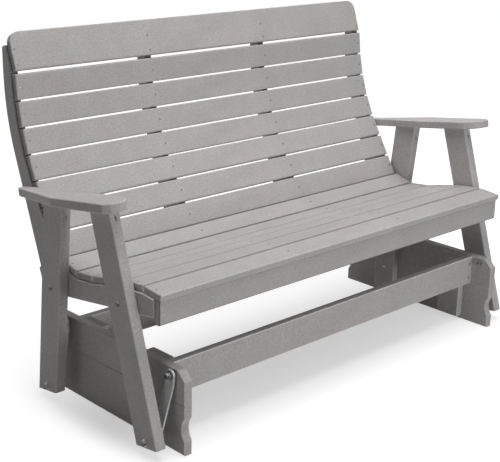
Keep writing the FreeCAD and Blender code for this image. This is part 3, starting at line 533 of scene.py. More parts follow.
@dataclass(frozen=True)
class MetalFinish:
    """Plated, coated or bright steel, which may carry painted shade on faces that look down.

    On faces that look down its level is cut to a share, as painted shade. The painted shade fades out
    from the first to the second value of its fade pair, which are Z parts of the normal.
    """

    name: str
    level: float
    tint: Triple
    rough: Pair
    line_scale: Triple = (900.0, 900.0, 900.0)
    cloud_scale: float = 150.0
    metallic: float = 1.0
    painted_under_shade: float = 1.0
    painted_shade_fade: Pair = (-0.2, 0.7)
    bump_depth: float = 0.05 * MM
    bump_strength: float = 0.2

    def material(self, rolled: Tree) -> Material:
        """Give the shared effect this steel's level, tint and roughness.

        Args:
            rolled: Group of the metal effect.

        Returns:
            The steel's material, with painted shade on faces that look down.
        """
        material, graph = new_material(self.name)
        where = graph.add("ShaderNodeTexCoord").outputs
        place = where["Object"]
        lines = graph.vector("MULTIPLY", place, self.line_scale)
        effect = graph.add("ShaderNodeGroup", {"Place": place, "Lines": lines, "Cloud": self.cloud_scale},
                           node_tree=rolled).outputs
        # Painted shade: the level drops on faces that look down.
        painted_shade = graph.split(where["Normal"])["Z"]
        painted_shade = graph.ramp(painted_shade, self.painted_shade_fade, (self.painted_under_shade, 1.0), smooth=True)
        tone = graph.product(effect["Tone"], painted_shade)
        graph.close({
            "Base Color": graph.shaded(tinted(self.level, self.tint), tone),
            "Roughness": graph.ramp(effect["Dull"], (0.0, 1.0), self.rough),
            "Normal": graph.relief(effect["Dull"], self.bump_strength, self.bump_depth),
            "Metallic": self.metallic,
        })
        return material


class Steel(Enum):
    """Steel finishes of the bench."""

    ZINC = MetalFinish("zinc_plate", 0.6, (1.0, 1.0, 1.0), (0.35, 0.55), line_scale=(40.0, 900.0, 60.0),
                       cloud_scale=60.0, metallic=0.35)
    BRIGHT = MetalFinish("bright_steel", 0.42, (1.01, 1.0, 0.99), (0.22, 0.42))
    SCREW = MetalFinish("screw_steel", 0.3, (1.0, 1.0, 0.99), (0.28, 0.45))
    # Coated steel carries painted shade: faces that look down keep only a small share of its level.
    COATED = MetalFinish("coated_steel", 0.55, (1.0, 1.0, 0.98), (0.3, 0.45), metallic=0.1, painted_under_shade=0.03)


@dataclass(frozen=True)
class NylonFinish:
    """Black bush plastic: faint mould clouds and a fine matte skin."""

    name: str = "bush_nylon"
    level: float = 0.022
    cloud_level: float = 0.0352
    cloud_scale: float = 120.0
    skin_scale: float = 1500.0
    rough: Pair = (0.4, 0.55)
    bump_depth: float = 0.1 * MM
    bump_strength: float = 0.2

    def material(self) -> Material:
        """Build the plastic from two noises.

        Returns:
            Dark material whose tone follows the clouds, and whose roughness and relief follow the skin.
        """
        material, graph = new_material(self.name)
        place = graph.add("ShaderNodeTexCoord").outputs["Object"]
        cloud = graph.noise(place, self.cloud_scale)
        skin = graph.noise(place, self.skin_scale)
        tint = graph.blend(graph.spread(cloud, (0.0, 1.0)), tinted(self.level), tinted(self.cloud_level))
        graph.close({
            "Base Color": tint, "Roughness": graph.spread(skin, self.rough),
            "Normal": graph.relief(skin, self.bump_strength, self.bump_depth),
        })
        return material


@dataclass
class Finishes:
    """Every finish of the bench, made once, and the tone that each board gets."""

    lumber: LumberFinish = LumberFinish()
    tone_spread: float = 0.03
    tone_seed: int = 7
    board_skin: Tree = field(init=False)
    steel: dict[Steel, Material] = field(init=False)
    nylon: Material = field(init=False)
    draws: np.random.Generator = field(init=False)

    def __post_init__(self) -> None:
        """Build the shared groups, then the steel and bush materials."""
        self.board_skin = self.lumber.group()
        rolled = RolledMetal().group()
        self.steel = {steel: steel.value.material(rolled) for steel in Steel}
        self.nylon = NylonFinish().material()
        self.draws = np.random.default_rng(self.tone_seed)

    def dress_board(self, name: str, edges: EdgeTone) -> None:
        """Give a board its own lumber, a little darker or paler than the others.

        Args:
            name: CAD node of the board.
            edges: Painted highlight and painted shade on its edges and front.
        """
        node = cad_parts[name]
        tone = 1.0 + self.tone_spread * float(self.draws.uniform(-1.0, 1.0))
        material = self.lumber.material(name, self.board_skin, BoardFrame.of(node), tone, edges)
        dress(node, material)


def dress(piece: Piece, material: Material) -> None:
    """Put one material on a piece and report it.

    Args:
        piece: CAD node or new piece.
        material: Its finish.
    """
    piece.data.materials.clear()
    piece.data.materials.append(material)
    LOG.info("%s in %s", piece.name, material.name)


def solids_of(node: Piece) -> list[np.ndarray]:
    """Points of each separate solid of a CAD node.

    Corners at one place count as one point. Every point takes the lowest label among the points
    that it shares a triangle with, again and again, until each solid has a single label.

    Args:
        node: Node of the frame.

    Returns:
        One array of points for each solid.
    """
    corners, triangles = mesh_arrays(node)
    places = np.round(corners / WELD)
    _, first, joint = np.unique(places, axis=0, return_index=True, return_inverse=True)
    triangles = joint.reshape(-1)[triangles]
    labels = np.arange(len(first))
    while True:
        before = labels.copy()
        lowest = labels[triangles].min(axis=1)
        np.minimum.at(labels, triangles.ravel(), np.repeat(lowest, 3))
        labels = labels[labels]
        if np.array_equal(labels, before):
            break
    points = corners[first]
    return [points[labels == label] for label in np.unique(labels)]


def turned_frame(out: np.ndarray, angle: float) -> np.ndarray:
    """Frame of a fastener.

    The first column is a cos t + b sin t, with t the angle, and a and b square to the axis and to
    each other.

    Args:
        out: Direction of the axis.
        angle: Turn about the axis.

    Returns:
        Matrix whose third column points out.
    """
    side = np.cross(out, (0.0, 1.0, 0.0) if abs(out[1]) < STEEP else (1.0, 0.0, 0.0))
    side /= np.linalg.norm(side)
    first = side * math.cos(angle) + np.cross(out, side) * math.sin(angle)
    return np.stack((first, np.cross(out, first), out), axis=1)


@dataclass(frozen=True)
class Stands:
    """Where equal fasteners stand: feet of their axes, turned frames, and how deep each one reaches."""

    feet: np.ndarray
    turns: np.ndarray
    depth: float

    @classmethod
    def of(cls, node: Piece, axis: Axis, head: float) -> "Stands":
        """Read the places of equal fasteners from the solids of a CAD node.

        A solid's axis is a principal direction of its points. A long fastener points out at the end
        where its points lie widest; a flat one points to the middle of the bench.

        Args:
            node: CAD node with one solid for each fastener.
            axis: Which principal direction is the axis.
            head: How far the solid rises above the seat of a long fastener.

        Returns:
            The stands, each turned a little further round than the one before.
        """
        feet, turns, depths = [], [], []
        for index, points in enumerate(solids_of(node)):
            middle = points.mean(axis=0)
            offsets = points - middle
            out = np.linalg.svd(offsets, full_matrices=False)[2][axis.value]
            level = offsets @ out
            if axis is Axis.LONGEST:
                wide = np.linalg.norm(offsets - np.outer(level, out), axis=1)
                flip = level[wide > wide.max() - RIM_BAND].mean() < 0
            else:
                flip = out[0] * middle[0] > 0
            out, level = (-out, -level) if flip else (out, level)
            seat = level.max() - head if axis is Axis.LONGEST else level.min()
            feet.append(middle + out * seat)
            turns.append(turned_frame(out, index * GOLDEN_TURN))
            depths.append(seat - level.min())
        return cls(np.array(feet), np.array(turns), float(np.mean(depths)))

    def only(self, rows: np.ndarray) -> "Stands":
        """Some of the stands, chosen by a mask."""
        return Stands(self.feet[rows], self.turns[rows], self.depth)


@dataclass(frozen=True)
class Shell:
    """Closed surface: its points, four-sided faces and end caps."""

    points: np.ndarray
    quads: np.ndarray
    caps: np.ndarray

    def copies(self, stands: Stands, start: int = 0) -> tuple[np.ndarray, list[list[int]]]:
        """Copy the surface onto every stand.

        Each point p becomes foot + p turned by the stand's directions, for all stands at once.

        Args:
            stands: Where the copies stand.
            start: Number of the first point.

        Returns:
            Points of all copies and their faces.
        """
        points = np.einsum("kij,nj->kni", stands.turns, self.points) + stands.feet[:, None]
        firsts = start + np.arange(len(stands.feet))[:, None, None] * len(self.points)
        faces = (self.quads + firsts).reshape(-1, 4).tolist()
        if self.caps.size:
            faces += (self.caps + firsts).reshape(-1, self.caps.shape[1]).tolist()
        return points.reshape(-1, 3), faces


def revolve(radius: np.ndarray, height: np.ndarray, ring: bool = False) -> Shell:
    """Carry a profile round the Z axis.

    The point at row v and column u is (r cos a, r sin a, z), with a a full turn times u over the
    number of columns. Rows run from the bottom up the outside, so that faces point outwards.

    Args:
        radius: Radius for every row and column.
        height: Height for every row and column.
        ring: Whether the last row joins the first, as round a washer; else both ends get a cap.

    Returns:
        The closed surface.
    """
    rows, columns = radius.shape
    angle = np.arange(columns) * FULL_TURN / columns
    points = np.stack((radius * np.cos(angle), radius * np.sin(angle), height), axis=-1)
    index = np.arange(rows * columns).reshape(rows, columns)
    low = index if ring else index[:-1]
    high = np.roll(index, -1, axis=0)[:len(low)]
    quads = np.stack((low, np.roll(low, -1, 1), np.roll(high, -1, 1), high), axis=-1)
    caps = np.empty((0, columns), dtype=int) if ring else np.stack((index[0, ::-1], index[-1]))
    return Shell(points.reshape(-1, 3), quads.reshape(-1, 4), caps)


def even(values: Sequence[float], columns: int) -> np.ndarray:
    """Values of a profile repeated for every column of a grid."""
    return np.repeat(np.asarray(values, dtype=float)[:, None], columns, axis=1)


def round_rows(profile: list[Pair], columns: int) -> Grid:
    """Radius and height grids of rows that are round, each given as a radius and a height."""
    radius, height = zip(*profile)
    return even(radius, columns), even(height, columns)


def joined(*runs: Grid) -> Grid:
    """Runs of a profile one after another, as one radius grid and one height grid."""
    radii, heights = zip(*runs)
    return np.concatenate(radii), np.concatenate(heights)


def chamfered_hexagon(corner: float, reach: np.ndarray, columns: int) -> np.ndarray:
    """Hexagon whose corners are cut by a cone.

    The radius is the lesser of the hexagon's, the distance of a flat over the cosine of the angle
    from its middle, and the cone's, which grows with the distance from the cut end.

    Args:
        corner: Radius at the corners.
        reach: Distance of each row from the nearest cut end.
        columns: Columns of the grid.

    Returns:
        Radius for every row and column.
    """
    flat = corner * FLAT_SHARE
    angle = np.mod(np.arange(columns) * FULL_TURN / columns, SIXTH_TURN) - SIXTH_TURN / 2
    return np.minimum(flat / np.cos(angle), flat * CONE_START + reach[:, None] * CONE_SLOPE)


def thread(low: float, high: float, radius: float, pitch: float, columns: int) -> Grid:
    """Screw thread between two heights.

    The radius dips in a triangle wave of height over pitch less the share of a turn, a helix.

    Args:
        low: Height where it starts.
        high: Height where it ends.
        radius: Radius over the crests.
        pitch: Rise of a turn.
        columns: Columns of the grid.

    Returns:
        Radius and height grids.
    """
    rows = max(2, round((high - low) / pitch * THREAD_ROWS) + 1)
    height = even(np.linspace(low, high, rows), columns)
    phase = height / pitch - np.arange(columns) / columns
    dip = np.abs(2 * (phase - np.floor(phase)) - 1)
    return radius - THREAD_DEPTH * pitch * dip, height


class Fastener(ABC):
    """Piece of hardware, upright on its seat at height zero."""

    axis: ClassVar[Axis] = Axis.LONGEST

    @property
    def head(self) -> float:
        """How far the plain solid rises above its seat."""
        return 0.0

    @abstractmethod
    def shell(self, depth: float) -> Shell:
        """Build the surface.

        Args:
            depth: How deep a long fastener reaches below its seat.

        Returns:
            The closed surface.
        """


@dataclass(frozen=True)
class StarScrew(Fastener):
    """Pan-head screw with a six-lobed recess, sunk in the lumber.

    The shoulder is given as shares of the head's radius and rise.
    """

    head_radius: float = 4.2 * MM
    proud: float = 0.6 * MM
    sunk: float = 2.4 * MM
    rim_drop: float = 0.1 * MM
    shoulder: Pair = (0.9, 0.6)
    crown_share: float = 0.66
    shank_radius: float = 2.4 * MM
    tip_radius: float = 0.1 * MM
    point_length: float = 6.0 * MM
    recess_radius: float = 1.75 * MM
    recess_taper: float = 0.92
    recess_depth: float = 1.3 * MM
    lobes: int = 6
    lobe_share: float = 0.22
    columns: int = 18

    @property
    def head(self) -> float:
        """How far the plain solid rises above the lumber."""
        return self.proud

    def shell(self, depth: float) -> Shell:
        """Build tip, shank, rounded head and recess.

        The recess radius is r (1 + k cos 6a), a the angle round the axis.

        Args:
            depth: How deep the tip reaches.

        Returns:
            The closed surface.
        """
        wide, high = self.shoulder
        body = round_rows([
            (self.tip_radius, -depth), (self.shank_radius, self.point_length - depth),
            (self.shank_radius, -self.sunk), (self.head_radius, -self.sunk),
            (self.head_radius, -self.rim_drop), (self.head_radius * wide, self.proud * high),
            (self.head_radius * self.crown_share, self.proud),
        ], self.columns)
        radius, height = round_rows([
            (self.recess_radius, self.proud),
            (self.recess_radius * self.recess_taper, self.proud - self.recess_depth),
        ], self.columns)
        lobe = np.cos(self.lobes * np.arange(self.columns) * FULL_TURN / self.columns)
        return revolve(*joined(body, (radius * (1 + self.lobe_share * lobe), height)))


@dataclass(frozen=True)
class ThreadedTail:
    """Lower end of a bolt: its cut tip, its thread and the start of its plain shank."""

    radius: float
    length: float
    pitch: float
    tip_cut: float

    def rows(self, depth: float, columns: int) -> Grid:
        """Build the profile from the tip up.

        Args:
            depth: How deep the tip reaches.
            columns: Columns of the grid.

        Returns:
            Radius and height grids.
        """
        end = self.length - depth
        return joined(
            round_rows([(self.radius - self.tip_cut, -depth)], columns),
            thread(RUN_IN - depth, end, self.radius, self.pitch, columns),
            round_rows([(self.radius, end + RUN_OUT)], columns))


@dataclass(frozen=True)
class HexBolt(Fastener):
    """Pivot bolt with a chamfered hexagon head and a threaded tail."""

    head_corner: float = 8.5 * MM
    head_height: float = 6.5 * MM
    chamfer: float = 0.9 * MM
    face_share: float = 0.96
    face_rise: float = 0.3 * MM
    dish_share: float = 0.35
    neck_gap: float = 0.01 * MM
    tail: ThreadedTail = ThreadedTail(4.75 * MM, 16.0 * MM, 1.5 * MM, 0.9 * MM)
    columns: int = 36

    @property
    def head(self) -> float:
        """How far the plain solid rises above the washer."""
        return self.head_height

    def shell(self, depth: float) -> Shell:
        """Build tail, shank and head.

        The head starts at the shank, widens to a round face, and narrows to a shallow dish on top.

        Args:
            depth: How deep the tail reaches.

        Returns:
            The closed surface.
        """
        top, columns = self.head_height, self.columns
        flat = self.head_corner * FLAT_SHARE
        heights = np.array([
            0.0, 0.0, self.face_rise, top - 2 * self.chamfer, top - self.chamfer / 2, top, top])
        head = chamfered_hexagon(self.head_corner, top - heights, columns)
        head[0] = self.tail.radius
        head[1] = flat * self.face_share
        head[-1] = flat * self.dish_share
        neck = round_rows([(self.tail.radius, -self.neck_gap)], columns)
        return revolve(*joined(self.tail.rows(depth, columns), neck, (head, even(heights, columns))))


@dataclass(frozen=True)
class CarriageBolt(Fastener):
    """Leg bolt with a domed round head and a threaded tail."""

    head_radius: float = 9.0 * MM
    head_height: float = 4.5 * MM
    rim: float = 0.8 * MM
    dome_share: float = 0.97
    dome_rows: int = 8
    tail: ThreadedTail = ThreadedTail(4.0 * MM, 14.0 * MM, 1.25 * MM, 0.8 * MM)
    columns: int = 32

    @property
    def head(self) -> float:
        """How far the plain solid rises above the leg."""
        return self.head_height

    def shell(self, depth: float) -> Shell:
        """Build tail, shank and dome.

        The dome rises as a quarter ellipse from its rim to its crown.

        Args:
            depth: How deep the tail reaches.

        Returns:
            The closed surface.
        """
        sweep = np.linspace(0.0, self.dome_share, self.dome_rows) * FULL_TURN / 4
        dome = self.head_radius * np.cos(sweep)
        crown = self.rim + (self.head_height - self.rim) * np.sin(sweep)
        profile = [(self.tail.radius, 0.0), (self.head_radius, 0.0), *zip(dome, crown)]
        return revolve(*joined(self.tail.rows(depth, self.columns), round_rows(profile, self.columns)))


@dataclass(frozen=True)
class LockNut(Fastener):
    """Hexagon nut with chamfered corners and a round collar over its locking ring.

    The collar takes a part of the height. The crown is given by its share of the flat, and by the
    share of the height where it starts.
    """

    axis: ClassVar[Axis] = Axis.SHORTEST

    corner: float
    height: float
    bore: float
    lower_edge: float = 0.6 * MM
    upper_edge: float = 0.8 * MM
    collar_part: float = 0.3
    collar_share: float = 0.88
    crown: Pair = (0.8, 0.93)
    mouth_share: float = 1.25
    mouth_depth: float = 0.5 * MM
    lead_share: float = 1.1
    lead_depth: float = 0.4 * MM
    columns: int = 36

    def shell(self, depth: float) -> Shell:
        """Build the hexagon, the collar over it and the bore, as a ring.

        Args:
            depth: Not used, because a nut has no shank.

        Returns:
            The closed surface.
        """
        flat = self.corner * FLAT_SHARE
        top = self.height * (1 - self.collar_part)
        heights = np.array([0.0, self.lower_edge, top - self.upper_edge, top])
        sides = chamfered_hexagon(self.corner, np.minimum(heights, top - heights), self.columns)
        crown_share, crown_start = self.crown
        collar = round_rows([
            (flat * self.collar_share, top), (flat * self.collar_share, self.height * crown_start),
            (flat * crown_share, self.height), (self.bore * self.mouth_share, self.height),
            (self.bore, self.height - self.mouth_depth), (self.bore, self.lead_depth),
            (self.bore * self.lead_share, 0.0),
        ], self.columns)
        return revolve(*joined((sides, even(heights, self.columns)), collar), ring=True)


@dataclass(frozen=True)
class RoundRing(Fastener):
    """Washer or bush: a ring with eased rims and, where it has one, a groove round each face."""

    axis: ClassVar[Axis] = Axis.SHORTEST

    outer: float
    inner: float
    width: float
    ease: float
    groove: float = 0.0
    rim_share: float = 0.25
    lip_share: float = 0.3
    columns: int = 40

    def shell(self, depth: float) -> Shell:
        """Build a rectangle with cut corners, carried round the axis, its faces sunk between rim and lip.

        Args:
            depth: Not used, because a ring has no shank.

        Returns:
            The closed surface.
        """
        ease, width = self.ease, self.width
        wall = self.outer - self.inner
        rim, lip = self.outer - self.rim_share * wall, self.inner + self.lip_share * wall
        floor = width - self.groove
        upper = [(rim, width), (rim, floor), (lip, floor), (lip, width)] if self.groove else []
        lower = [(lip, 0.0), (lip, self.groove), (rim, self.groove), (rim, 0.0)] if self.groove else []
        profile = [
            (self.outer, ease), (self.outer, width - ease), (self.outer - ease, width), *upper,
            (self.inner + ease, width), (self.inner, width - ease), (self.inner, ease),
            (self.inner + ease, 0.0), *lower, (self.outer - ease, 0.0),
        ]
        return revolve(*round_rows(profile, self.columns), ring=True)


@dataclass(frozen=True)
class Hardware:
    """Detailed fasteners in place of the plain solids of a CAD node; the lowest one may differ."""

    name: str
    node: str
    pattern: Fastener
    body: Body
    lowest: Fastener | None = None

    def build(self) -> Piece:
        """Copy the fastener onto the stand of every plain solid.

        Returns:
            One piece with all copies, which rides on the body and replaces the node.
        """
        stands = Stands.of(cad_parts[self.node], self.pattern.axis, self.pattern.head)
        low = (stands.feet[:, 2] == stands.feet[:, 2].min()) & (self.lowest is not None)
        points, faces = self.pattern.shell(stands.depth).copies(stands.only(~low))
        if self.lowest is not None:
            more, extra = self.lowest.shell(stands.depth).copies(stands.only(low), len(points))
            points, faces = np.concatenate((points, more)), faces + extra
        mesh = bpy.data.meshes.new(self.name)
        mesh.from_pydata(points, [], faces)
        mesh.shade_smooth()
        mesh.set_sharp_from_angle(angle=CREASE)
        piece = bpy.data.objects.new(self.name, mesh)
        bpy.context.scene.collection.objects.link(piece)
        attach(piece, self.body.value)
        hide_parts(self.node)
        return piece


class SubAssembly(ABC):
    """Boards and steel hardware that belong together."""

    @abstractmethod
    def boards(self) -> dict[str, EdgeTone]:
        """CAD boards, in the order in which their tones are drawn, and their painted edge highlights and
        shade.
        """

    @abstractmethod
    def hardware(self) -> list[tuple[Hardware, Steel]]:
        """Hardware and its finishes, in building order."""

    def build(self, finishes: Finishes) -> None:
        """Dress the boards, then build and dress the hardware.

        Args:
            finishes: Finishes of the bench.
        """
        for name, edges in self.boards().items():
            finishes.dress_board(name, edges)
        for pieces, steel in self.hardware():
            dress(pieces.build(), finishes.steel[steel])


@dataclass(frozen=True)
class PivotSet:
    """Bolts, lock nuts and washers of four pivots that share a body."""

    level: str
    body: Body
    bolt: HexBolt = HexBolt()
    nut: LockNut = LockNut(8.5 * MM, 8.0 * MM, 4.8 * MM)
    washer: RoundRing = RoundRing(11.0 * MM, 4.8 * MM, 2.0 * MM, 0.3 * MM)

    def hardware(self) -> list[tuple[Hardware, Steel]]:
        """List the hardware of the four pivots.

        Returns:
            Bolts, nuts and washers, each with its finish.
        """
        kinds = (("bolts", self.bolt, Steel.COATED), ("nuts", self.nut, Steel.BRIGHT),
                 ("washers", self.washer, Steel.BRIGHT))
        nodes = {f"{self.level}_pivot_{kind}": (pattern, steel) for kind, pattern, steel in kinds}
        return [(Hardware(f"{node}_steel", node, pattern, self.body), steel)
                for node, (pattern, steel) in nodes.items()]


@dataclass
class FloorBase(SubAssembly):
    """Base that stands on the floor: two-board end panels, battens, beams, screws and upper pivots."""

    levels: tuple[str, ...] = ("lower", "upper")
    screw: StarScrew = StarScrew()
    pivots: PivotSet = PivotSet("upper", Body.BASE)

    def boards(self) -> dict[str, EdgeTone]:
        """List the boards.

        Returns:
            Panels, battens and beams, each with its painted edge highlights and shade.
        """
        panels = [f"base_{side}_{level}_board" for side in SIDES for level in self.levels]
        panels += [f"{end}_{side}_batten" for end in ENDS for side in SIDES]
        beams = [f"{end}_cross_beam" for end in ENDS]
        return dict.fromkeys(panels, EdgeTone.PANEL) | dict.fromkeys(beams, EdgeTone.BEAM)

    def hardware(self) -> list[tuple[Hardware, Steel]]:
        """Screws, then the upper pivots."""
        screws = Hardware("base_star_screws", "base_screws", self.screw, Body.BASE)
        return [(screws, Steel.SCREW), *self.pivots.hardware()]


@dataclass
class SwingLink:
    """Offset steel link with a grooved bush in each eye, a loose one in the lower eye of a rear link."""

    body: Body
    bush: RoundRing = RoundRing(13.0 * MM, 4.8 * MM, 14.0 * MM, 0.8 * MM, groove=1.2 * MM)
    loose_bore: float = 5.95 * MM

    def build(self, finishes: Finishes) -> None:
        """Dress the link, then build and dress its two bushes.

        Args:
            finishes: Finishes of the bench.
        """
        name = self.body.value
        dress(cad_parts[name], finishes.steel[Steel.ZINC])
        loose = replace(self.bush, inner=self.loose_bore) if name.startswith("rear") else None
        bushes = Hardware(f"{name}_bushes", f"{name}_bearings", self.bush, self.body, loose)
        dress(bushes.build(), finishes.nylon)


@dataclass
class SlattedSeat(SubAssembly):
    """Contoured rails with six slats and an apron, and the screws that hold them."""

    slats: int = 6
    screw: StarScrew = StarScrew()

    def boards(self) -> dict[str, EdgeTone]:
        """List the boards.

        Returns:
            Rails, slats from the rear to the nose and the apron, each with its painted edge highlights and
            shade.
        """
        rails = {f"seat_rail_{place}": EdgeTone.RAIL for place in FRAMES}
        slats = {f"seat_slat_{number}": EdgeTone.SEAT_SLAT for number in range(1, self.slats)}
        front = {f"seat_slat_{self.slats}": EdgeTone.NOSE_SLAT, "front_apron": EdgeTone.APRON}
        return rails | slats | front

    def hardware(self) -> list[tuple[Hardware, Steel]]:
        """Screws of the slats, then those at the feet of the stiles."""
        nodes = {"seat_star_screws": "seat_screws", "heel_star_screws": "stile_foot_screws"}
        return [(Hardware(name, node, self.screw, Body.SEAT), Steel.SCREW) for name, node in nodes.items()]


@dataclass
class RolledBack(SubAssembly):
    """Four shaped stiles with seven slats and the wide crest, and the screws that hold them."""

    slats: int = 7
    screw: StarScrew = StarScrew()

    def boards(self) -> dict[str, EdgeTone]:
        """List the boards.

        Returns:
            Stiles, slats from the bottom up and the crest, each with its painted edge highlights and shade.
        """
        stiles = {f"back_stile_{place}": EdgeTone.OUTER_STILE if place in SIDES else EdgeTone.INNER_STILE
                  for place in FRAMES}
        slats = [f"back_slat_{number}" for number in range(1, self.slats + 1)]
        return stiles | dict.fromkeys([*slats, "back_crest_slat"], EdgeTone.BACK_SLAT)

    def hardware(self) -> list[tuple[Hardware, Steel]]:
        """Screws of the slats and the crest."""
        return [(Hardware("back_star_screws", "back_screws", self.screw, Body.SEAT), Steel.SCREW)]


@dataclass
class LegsAndArms(SubAssembly):
    """Board legs and arms with their carriage bolts, screws and lower pivots."""

    screw: StarScrew = StarScrew()
    bolt: CarriageBolt = CarriageBolt()
    nut: LockNut = LockNut(7.5 * MM, 6.5 * MM, 4.05 * MM)
    pivots: PivotSet = PivotSet("lower", Body.SEAT)

    def boards(self) -> dict[str, EdgeTone]:
        """Legs, then arms."""
        legs = [f"{end}_{side}_leg" for end in ENDS for side in SIDES]
        return dict.fromkeys([*legs, *(f"armrest_{side}" for side in SIDES)], EdgeTone.LEG)

    def hardware(self) -> list[tuple[Hardware, Steel]]:
        """Screws of the arms, bolts and nuts of the legs, then the lower pivots."""
        return [
            (Hardware("arm_star_screws", "arm_screws", self.screw, Body.SEAT), Steel.SCREW),
            (Hardware("leg_carriage_bolts", "leg_bolts", self.bolt, Body.SEAT), Steel.COATED),
            (Hardware("leg_lock_nuts", "leg_bolt_nuts", self.nut, Body.SEAT), Steel.SCREW),
            *self.pivots.hardware(),
        ]


@dataclass(frozen=True)
class AreaLamp:
    """Soft square lamp that faces a point."""

    name: str
    at: Triple
    aim: Triple
    side: float
    power: float

    def build(self) -> None:
        """Add the lamp to the scene, turned to its point."""
        data = bpy.data.lights.new(self.name, "AREA")
        data.shape = "SQUARE"
        data.size = self.side
        data.energy = self.power
        lamp = bpy.data.objects.new(self.name, data)
        lamp.location = self.at
        lamp.rotation_euler = (Vector(self.aim) - Vector(self.at)).to_track_quat("-Z", "Y").to_euler()
        bpy.context.scene.collection.objects.link(lamp)


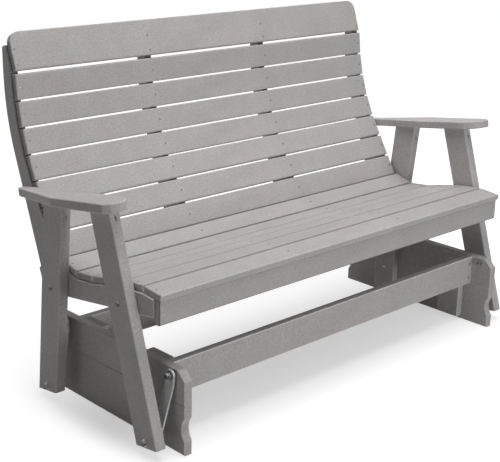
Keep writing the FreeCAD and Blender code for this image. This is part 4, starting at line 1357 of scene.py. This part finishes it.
@dataclass(frozen=True)
class Studio:
    """White floor and surround, soft lamps and the camera."""

    lamps: tuple[AreaLamp, ...] = (
        AreaLamp("front_left_key", (-0.4, -5.5, 0.75), (0.0, 0.0, 0.5), 1.4, 78.0),
        AreaLamp("front_right_key", (1.5, -5.5, 1.2), (0.0, 0.0, 0.5), 1.6, 20.0),
        AreaLamp("overhead", (0.3, 0.0, 5.0), (0.0, 0.0, 0.0), 4.0, 76.0),
        AreaLamp("overhead_near", (0.0, -0.3, 3.4), (0.0, 0.0, 0.0), 2.6, 55.0),
        AreaLamp("left_fill", (-5.0, 0.0, 1.0), (0.0, 0.0, 0.3), 1.6, 8.0),
        AreaLamp("rear_fill", (0.8, 5.5, 1.6), (0.0, 0.0, 0.5), 1.6, 45.0),
    )
    floor_half: float = 40.0
    floor_white: float = 0.6
    # Painted shadow on the floor: the box round the bench, its stretch and fade, and the glow inside and
    # outside it.
    shade_middle: Triple = (-0.014, -0.097, 0.0)
    shade_half: Triple = (0.743, 0.0, 0.0)
    shade_stretch: Triple = (4.15, 1.0, 0.0)
    shade_fade: float = 0.465
    shade_glow: float = 0.496
    open_glow: float = 0.776
    white_at: float = 11.0
    camera_at: Triple = (-2.46594, -2.46006, 1.52309)
    azimuth: float = -43.7321
    elevation: float = 17.8809
    roll: float = 1.2309
    focal_pixels: float = 1125.818
    image_width: float = 500.0
    sensor_width: float = 36.0

    def build(self) -> None:
        """Set the view, then add the surround, floor, lamps and camera."""
        bpy.context.scene.view_settings.view_transform = "Standard"
        self.build_surround()
        self.build_floor()
        for lamp in self.lamps:
            lamp.build()
        self.build_camera()

    @staticmethod
    def seen(graph: Graph) -> Socket:
        """Mark what shows, against what only lights the bench.

        Args:
            graph: Node tree of the floor or the surround.

        Returns:
            One for rays from the camera, also by reflection or through glass, and zero for others.
        """
        path = graph.add("ShaderNodeLightPath").outputs
        mirrored = graph.math("MAXIMUM", path["Is Glossy Ray"], path["Is Transmission Ray"])
        return graph.math("MAXIMUM", path["Is Camera Ray"], mirrored)

    def build_surround(self) -> None:
        """Add a surround that is white to the eye and leaves the light to the lamps."""
        world = bpy.data.worlds.new("surround")
        world.use_nodes = True
        graph = Graph(world.node_tree)
        shader = graph.add("ShaderNodeBackground", {"Color": tinted(1.0), "Strength": self.seen(graph)})
        graph.add("ShaderNodeOutputWorld", {"Surface": shader.outputs[0]})
        bpy.context.scene.world = world

    def build_floor(self) -> None:
        """Add a flat matte floor that also glows to the eye, so that it ends in white, with a painted
        shadow round the bench.
        """
        reach = np.array([-self.floor_half, self.floor_half])
        across, along = np.meshgrid(reach, reach)
        points = np.stack((across, along, np.zeros_like(across)), axis=-1).reshape(-1, 3)
        mesh = bpy.data.meshes.new("studio_floor")
        mesh.from_pydata(points, [], [(0, 1, 3, 2)])
        floor = bpy.data.objects.new("studio_floor", mesh)
        bpy.context.scene.collection.objects.link(floor)
        material, graph = new_material("floor_white")
        matte = graph.add("ShaderNodeBsdfDiffuse", {"Color": tinted(self.floor_white)})
        light = graph.add("ShaderNodeEmission", {"Color": tinted(1.0), "Strength": self.glow_with_painted_shadow(graph)})
        both = graph.add("ShaderNodeAddShader", {0: matte.outputs[0], 1: light.outputs[0]})
        graph.add("ShaderNodeOutputMaterial", {"Surface": both.outputs[0]})
        mesh.materials.append(material)

    def glow_with_painted_shadow(self, graph: Graph) -> Socket:
        """Glow that is low round the bench, which paints a soft shadow there over the lamps' own shadow.

        The distance is the length of |p - middle| less half a box, at least zero, stretched on each
        axis. The glow rises smoothly with it as far as the fade, and then evenly to white.

        Args:
            graph: Node tree of the floor.

        Returns:
            Strength of the glow.
        """
        place = graph.add("ShaderNodeTexCoord").outputs["Object"]
        offset = graph.vector("ABSOLUTE", graph.vector("SUBTRACT", place, self.shade_middle))
        offset = graph.vector("MAXIMUM", graph.vector("SUBTRACT", offset, self.shade_half), (0.0, 0.0, 0.0))
        away = graph.reading("LENGTH", graph.vector("MULTIPLY", offset, self.shade_stretch))
        # Painted shadow: the glow is lowest round the bench and rises away from it.
        near = graph.ramp(away, (0.0, self.shade_fade), (self.shade_glow, self.open_glow), smooth=True)
        far = graph.ramp(away, (self.shade_fade, self.white_at), (0.0, 1.0 - self.open_glow))
        return graph.product(graph.math("ADD", near, far), self.seen(graph))

    def build_camera(self) -> None:
        """Add the camera at the photo's angle.

        Back points from the bench to the camera. Right and up are the level direction and the one
        square to both, turned about back by the roll.
        """
        turn, rise, roll = (math.radians(angle) for angle in (self.azimuth, self.elevation, self.roll))
        level = Vector((math.cos(turn), math.sin(turn), 0.0))
        ahead = Vector((math.sin(turn), -math.cos(turn), 0.0))
        back = ahead * math.cos(rise) + Vector((0.0, 0.0, math.sin(rise)))
        upright = back.cross(level)
        right = level * math.cos(roll) + upright * math.sin(roll)
        up = upright * math.cos(roll) - level * math.sin(roll)
        data = bpy.data.cameras.new("photo_camera")
        data.sensor_width = self.sensor_width
        data.lens = self.focal_pixels * self.sensor_width / self.image_width
        camera = bpy.data.objects.new("photo_camera", data)
        facing = Matrix((right, up, back)).transposed().to_4x4()
        camera.matrix_world = Matrix.Translation(self.camera_at) @ facing
        bpy.context.scene.collection.objects.link(camera)
        bpy.context.scene.camera = camera


def main() -> None:
    """Build the bench's looks piece by piece, then the studio."""
    logging.basicConfig(level=logging.INFO, format="%(name)s: %(message)s")
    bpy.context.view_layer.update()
    finishes = Finishes()
    links = [SwingLink(body) for body in Body if body.value.endswith("link")]
    for assembly in (FloorBase(), *links, SlattedSeat(), RolledBack(), LegsAndArms()):
        assembly.build(finishes)
        LOG.info("%s built", type(assembly).__name__)
    Studio().build()


if __name__ == "__main__":
    main()
